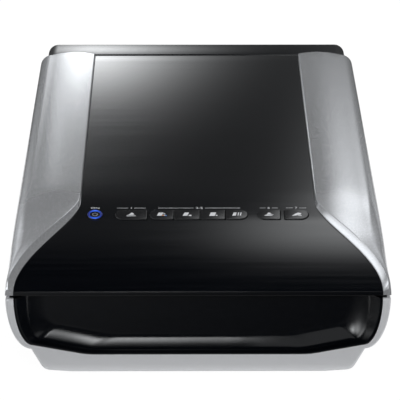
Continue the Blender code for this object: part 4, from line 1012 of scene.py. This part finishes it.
icons = {  # outlines in steps of iconScale from the cap's middle
    "auto_button": [
        [(-3.0, -1.9), (2.6, -1.9), (3.2, -1.2), (-2.4, -1.2)],
        [(-2.2, -0.6), (0.8, -0.6), (2.2, 0.2), (0.9, 1.7), (-0.1, 1.9), (-0.6, 0.6)],
    ],
    "document_button_1": [
        [(-3.0, -1.4), (-1.6, 2.0), (1.2, 2.0), (0.1, -1.4)],
        [(0.9, 0.2), (2.4, 0.2), (2.4, 1.0), (1.2, 1.0)],
    ],
    "document_button_2": [
        [(-2.8, -1.4), (-1.4, 2.0), (1.4, 2.0), (0.2, -1.4)],
        [(1.0, -1.8), (2.8, -1.8), (2.8, -0.4), (1.4, -0.4)],
    ],
    "document_button_3": [
        [(-2.2, -1.7), (-1.2, 2.0), (2.2, 2.0), (1.4, -1.7)],
        [(1.9, -1.7), (2.8, -1.7), (3.1, -0.6), (2.2, -0.6)],
    ],
    "document_button_4": [
        [(-2.8, -1.5), (-1.8, 2.0), (0.1, 2.0), (-0.7, -1.5)],
        [(0.4, -1.5), (1.1, -1.5), (1.7, 2.0), (1.0, 2.0)],
        [(1.9, -1.5), (2.6, -1.5), (3.2, 2.0), (2.5, 2.0)],
    ],
    "copy_button": [
        [(-3.2, -1.5), (1.6, -1.5), (3.0, -0.3), (-1.8, -0.3)],
        [(-1.4, 0.1), (1.8, 0.1), (0.6, 1.7), (-0.4, 1.9)],
    ],
    "mail_button": [
        [(-3.0, -1.7), (-0.6, -1.5), (2.6, -0.3), (3.2, 1.2), (0.9, 1.8), (-1.2, 0.2)],
        [(0.8, -1.7), (3.2, -1.7), (3.2, -1.2), (1.6, -1.1)],
    ],
}
dotSetting = {"first": 0.9, "pitch": 0.95, "height": -1.2, "radius": 0.42, "count": 12}
standbySetting = {
    "turns": [math.radians(125 + 290 * i / 20) for i in range(21)], "outer": 1.75, "inner": 1.25,
    "bar": [(-0.25, 0.5), (0.25, 0.5), (0.25, 2.0), (-0.25, 2.0)],
}


def iconPatch(name, outline, material, button):
    x, scale = buttonMiddle(button), printSetting["iconScale"]

    def place(a, b, n):
        return rowPoint(x + scale * a, scale * b, rowShape["proud"] + n)

    printPatch(name, outline, material, place, button)


def standbyMark():
    outer, inner, turns = standbySetting["outer"], standbySetting["inner"], standbySetting["turns"]
    outline = [(outer * math.cos(t), outer * math.sin(t)) for t in turns]
    outline += [(inner * math.cos(t), inner * math.sin(t)) for t in reversed(turns)]
    iconPatch("power_button_arc", outline, printDim, "power_button")
    iconPatch("power_button_bar", standbySetting["bar"], printDim, "power_button")


for nodeName, outlines in icons.items():
    for i, outline in enumerate(outlines):
        iconPatch(f"{nodeName}_mark_{i}", outline, printPale, nodeName)
for i, material in enumerate((printOrange, printPale, printBlue)):
    middle = dotSetting["first"] + dotSetting["pitch"] * i
    dot = ringOf(middle, dotSetting["height"], dotSetting["radius"], dotSetting["count"])
    iconPatch(f"document_button_1_dot_{i}", dot, material, "document_button_1")
standbyMark()
print("stage: prints")


# base: smaller pieces

markSetting = {
    "pitch": 0.010, "across": 21, "along": 30, "every": 5, "long": 0.0045, "short": 0.0028,
    "half": 0.00015, "gap": 0.0010, "below": 0.0002, "above": 0.00004, "arrowAway": 0.0075,
    "arrow": [(-0.006, 0.006), (-0.006, 0.001), (0.001, 0.001), (0.001, -0.0005), (0.0025, -0.0005)],
}
footSetting = {  # radius and height of each ring
    "profile": [
        (0.0048, 0.0005), (0.0052, 0.0), (0.0060, 0.0), (0.0066, 0.0002), (0.0070, 0.0008),
        (0.0070, 0.0018), (0.0068, 0.0020), (0.0068, 0.0024), (0.0070, 0.0026), (0.0070, 0.0043),
    ],
    "count": 40, "smooth": 40,
}
insideSetting = {  # corners of the first box from the sockets' middle height, columns, rows
    "tongue": ((-0.0158, 0.2270, -0.0016), (-0.0102, 0.2368, 0.0016), (1, 0.0), ((0,), 0.0)),
    "usb": ((-0.0150, 0.2280, 0.0015), (-0.0138, 0.2362, 0.0017), (2, 0.0028), ((0, 1), -0.0032)),
    "film": ((-0.0482, 0.2270, -0.0004), (-0.0474, 0.2350, 0.0004), (5, 0.0019), ((-1, 1), 0.0016)),
    "pin": (0.030, 0.00085, 20), "pinReach": (0.2270, 0.2372), "pinSmooth": 40,
    "tongueEdge": 0.0004, "pinEdge": 0.0002,
}
ribbonShape = {
    "radius": 0.0055, "thick": 0.0004, "end": 0.020,
    "runSteps": 30, "bendSteps": 18, "endSteps": 4, "smooth": 40,
}


def markLength(i):
    return markSetting["long"] if i % markSetting["every"] == 0 else markSetting["short"]


def makeMarks():
    s = markSetting
    glass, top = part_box("platen_glass"), baseShape["rimZ"]
    low, high = top - s["below"], top + s["above"]
    frontEdge, sideEdge = glass[0][1] - s["gap"], glass[1][0] + s["gap"]
    boxes = []
    for i in range(1, s["across"] + 1):
        x = glass[1][0] - s["pitch"] * i
        start = (x - s["half"], frontEdge - markLength(i), low)
        boxes.append((start, (x + s["half"], frontEdge, high)))
    for i in range(1, s["along"] + 1):
        y = glass[0][1] + s["pitch"] * i
        end = (sideEdge + markLength(i), y + s["half"], high)
        boxes.append(((sideEdge, y - s["half"], low), end))
    marks = manyBoxes("bezelMarks", boxes, printPale)
    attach(marks, "base")
    x, y = glass[1][0] + s["arrowAway"], glass[0][1] - s["arrowAway"]
    arrow = prismOf("bezelArrow", [(x + a, y + b) for a, b in s["arrow"]], "z", low, high, printPale)
    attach(arrow, "base")


def makeFeet():
    for name in ("foot_front_left", "foot_front_right", "foot_back_left", "foot_back_right"):
        low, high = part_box(name)
        x, y = (low[0] + high[0]) / 2, (low[1] + high[1]) / 2
        rings = []
        for radius, z in footSetting["profile"]:
            rings.append([(a, b, z) for a, b in ringOf(x, y, radius, footSetting["count"])])
        foot = loftRings(name + "_pad", rings, rubberBlack)
        shade(foot, footSetting["smooth"])
        settle(foot, "base", "rubber", name)


def insideBoxes(low, high, columns, rows):
    z, boxes = socketShape["z"], []
    (count, pitch), (places, apart) = columns, rows
    for i in range(count):
        for k in places:
            boxes.append([(c[0] + pitch * i, c[1], z + c[2] + apart * k) for c in (low, high)])
    return boxes


def makeSocketInsides():
    s = insideSetting
    tongue = manyBoxes("usbTongue", insideBoxes(*s["tongue"]), whitePlastic)
    soften(tongue, s["tongueEdge"])
    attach(tongue, "base")
    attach(manyBoxes("usbContacts", insideBoxes(*s["usb"]), goldContact), "base")
    x, radius, count = s["pin"]
    pin = prismOf("dcPin", ringOf(x, socketShape["z"], radius, count), "y", *s["pinReach"], steelBright)
    soften(pin, s["pinEdge"])
    shade(pin, s["pinSmooth"])
    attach(pin, "base")
    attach(manyBoxes("filmContacts", insideBoxes(*s["film"]), goldContact), "base")


def makeRibbon():
    s = ribbonShape
    low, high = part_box("flat_cable")
    radius, thick = s["radius"], s["thick"]
    bendY, lowZ = low[1] + radius + thick / 2, low[2] + thick / 2
    path = [(high[1] - (high[1] - bendY) * i / s["runSteps"], lowZ) for i in range(s["runSteps"] + 1)]
    for i in range(1, s["bendSteps"] + 1):
        turn = 180 * i / s["bendSteps"]
        path.append((bendY - radius * sinOf(turn), lowZ + radius - radius * cosOf(turn)))
    for i in range(1, s["endSteps"] + 1):
        path.append((bendY + s["end"] * i / s["endSteps"], lowZ + 2 * radius))
    rings = []
    for i, (y, z) in enumerate(path):
        before, after = path[max(i - 1, 0)], path[min(i + 1, len(path) - 1)]
        along = Vector((after[0] - before[0], after[1] - before[1])).normalized()
        ny, nz = -along.y * thick / 2, along.x * thick / 2
        upper, lower = (y + ny, z + nz), (y - ny, z - nz)
        rings.append([(low[0], *upper), (high[0], *upper), (high[0], *lower), (low[0], *lower)])
    ribbon = loftRings("flatRibbon", rings, ribbonPale)
    shade(ribbon, s["smooth"])
    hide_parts("flat_cable")
    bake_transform(ribbon)


makeMarks()
makeFeet()
makeSocketInsides()
makeRibbon()
print("stage: small pieces")


# finishes of the nodes that are shown as they are

finishGroups = (
    (satinBlack, ("lid_frame", "hinge_post_left", "hinge_post_right", "base_bezel", "dc_jack",
                  "film_unit_socket", "carriage_body", "lens_barrel", "belt_tensioner")),
    (steelBright, ("hinge_bracket_left", "hinge_bracket_right", "hinge_pin_left", "hinge_pin_right",
                   "guide_rod", "slide_rail", "usb_port", "stepper_motor", "motor_plate", "tension_spring")),
    (nylonPale, ("carriage_bush_front", "carriage_bush_rear", "carriage_slider", "motor_pinion",
                 "reduction_gear", "drive_pulley", "idler_pulley")),
    (boardGreen, ("film_lamp_board", "button_board", "main_board", "ccd_board")),
    (whitePlastic, ("film_light_guide", "transport_lock", "lamp_bar")),
    (mirrorFace, ("mirror_1", "mirror_2", "mirror_3")),
    (padWhite, ("document_mat",)),
    (clearGlass, ("platen_glass",)),
    (rubberBlack, ("drive_belt",)),
)
shownFinish = {name: material for material, names in finishGroups for name in names}
rounded = {  # width of the softened edges
    "document_mat": 0.0008, "base_bezel": 0.0003, "lid_frame": 0.0004, "platen_glass": 0.0003,
    "hinge_post_left": 0.0004, "hinge_post_right": 0.0004,
    "hinge_bracket_left": 0.0003, "hinge_bracket_right": 0.0003,
    "usb_port": 0.0003, "dc_jack": 0.0003, "film_unit_socket": 0.0003, "transport_lock": 0.0005,
}
edgeSetting = {"weld": 0.000002, "segments": 2, "angle": 40}
for nodeName, node in nodes.items():
    if node.hide_render:
        continue
    node.data.materials.clear()
    node.data.materials.append(shownFinish[nodeName])
    if nodeName in rounded:
        weld = node.modifiers.new("weld", "WELD")
        weld.merge_threshold = edgeSetting["weld"]
        edge = node.modifiers.new("edge", "BEVEL")
        edge.width, edge.segments = rounded[nodeName], edgeSetting["segments"]
        edge.limit_method, edge.angle_limit = "ANGLE", math.radians(edgeSetting["angle"])
print("stage: finishes")
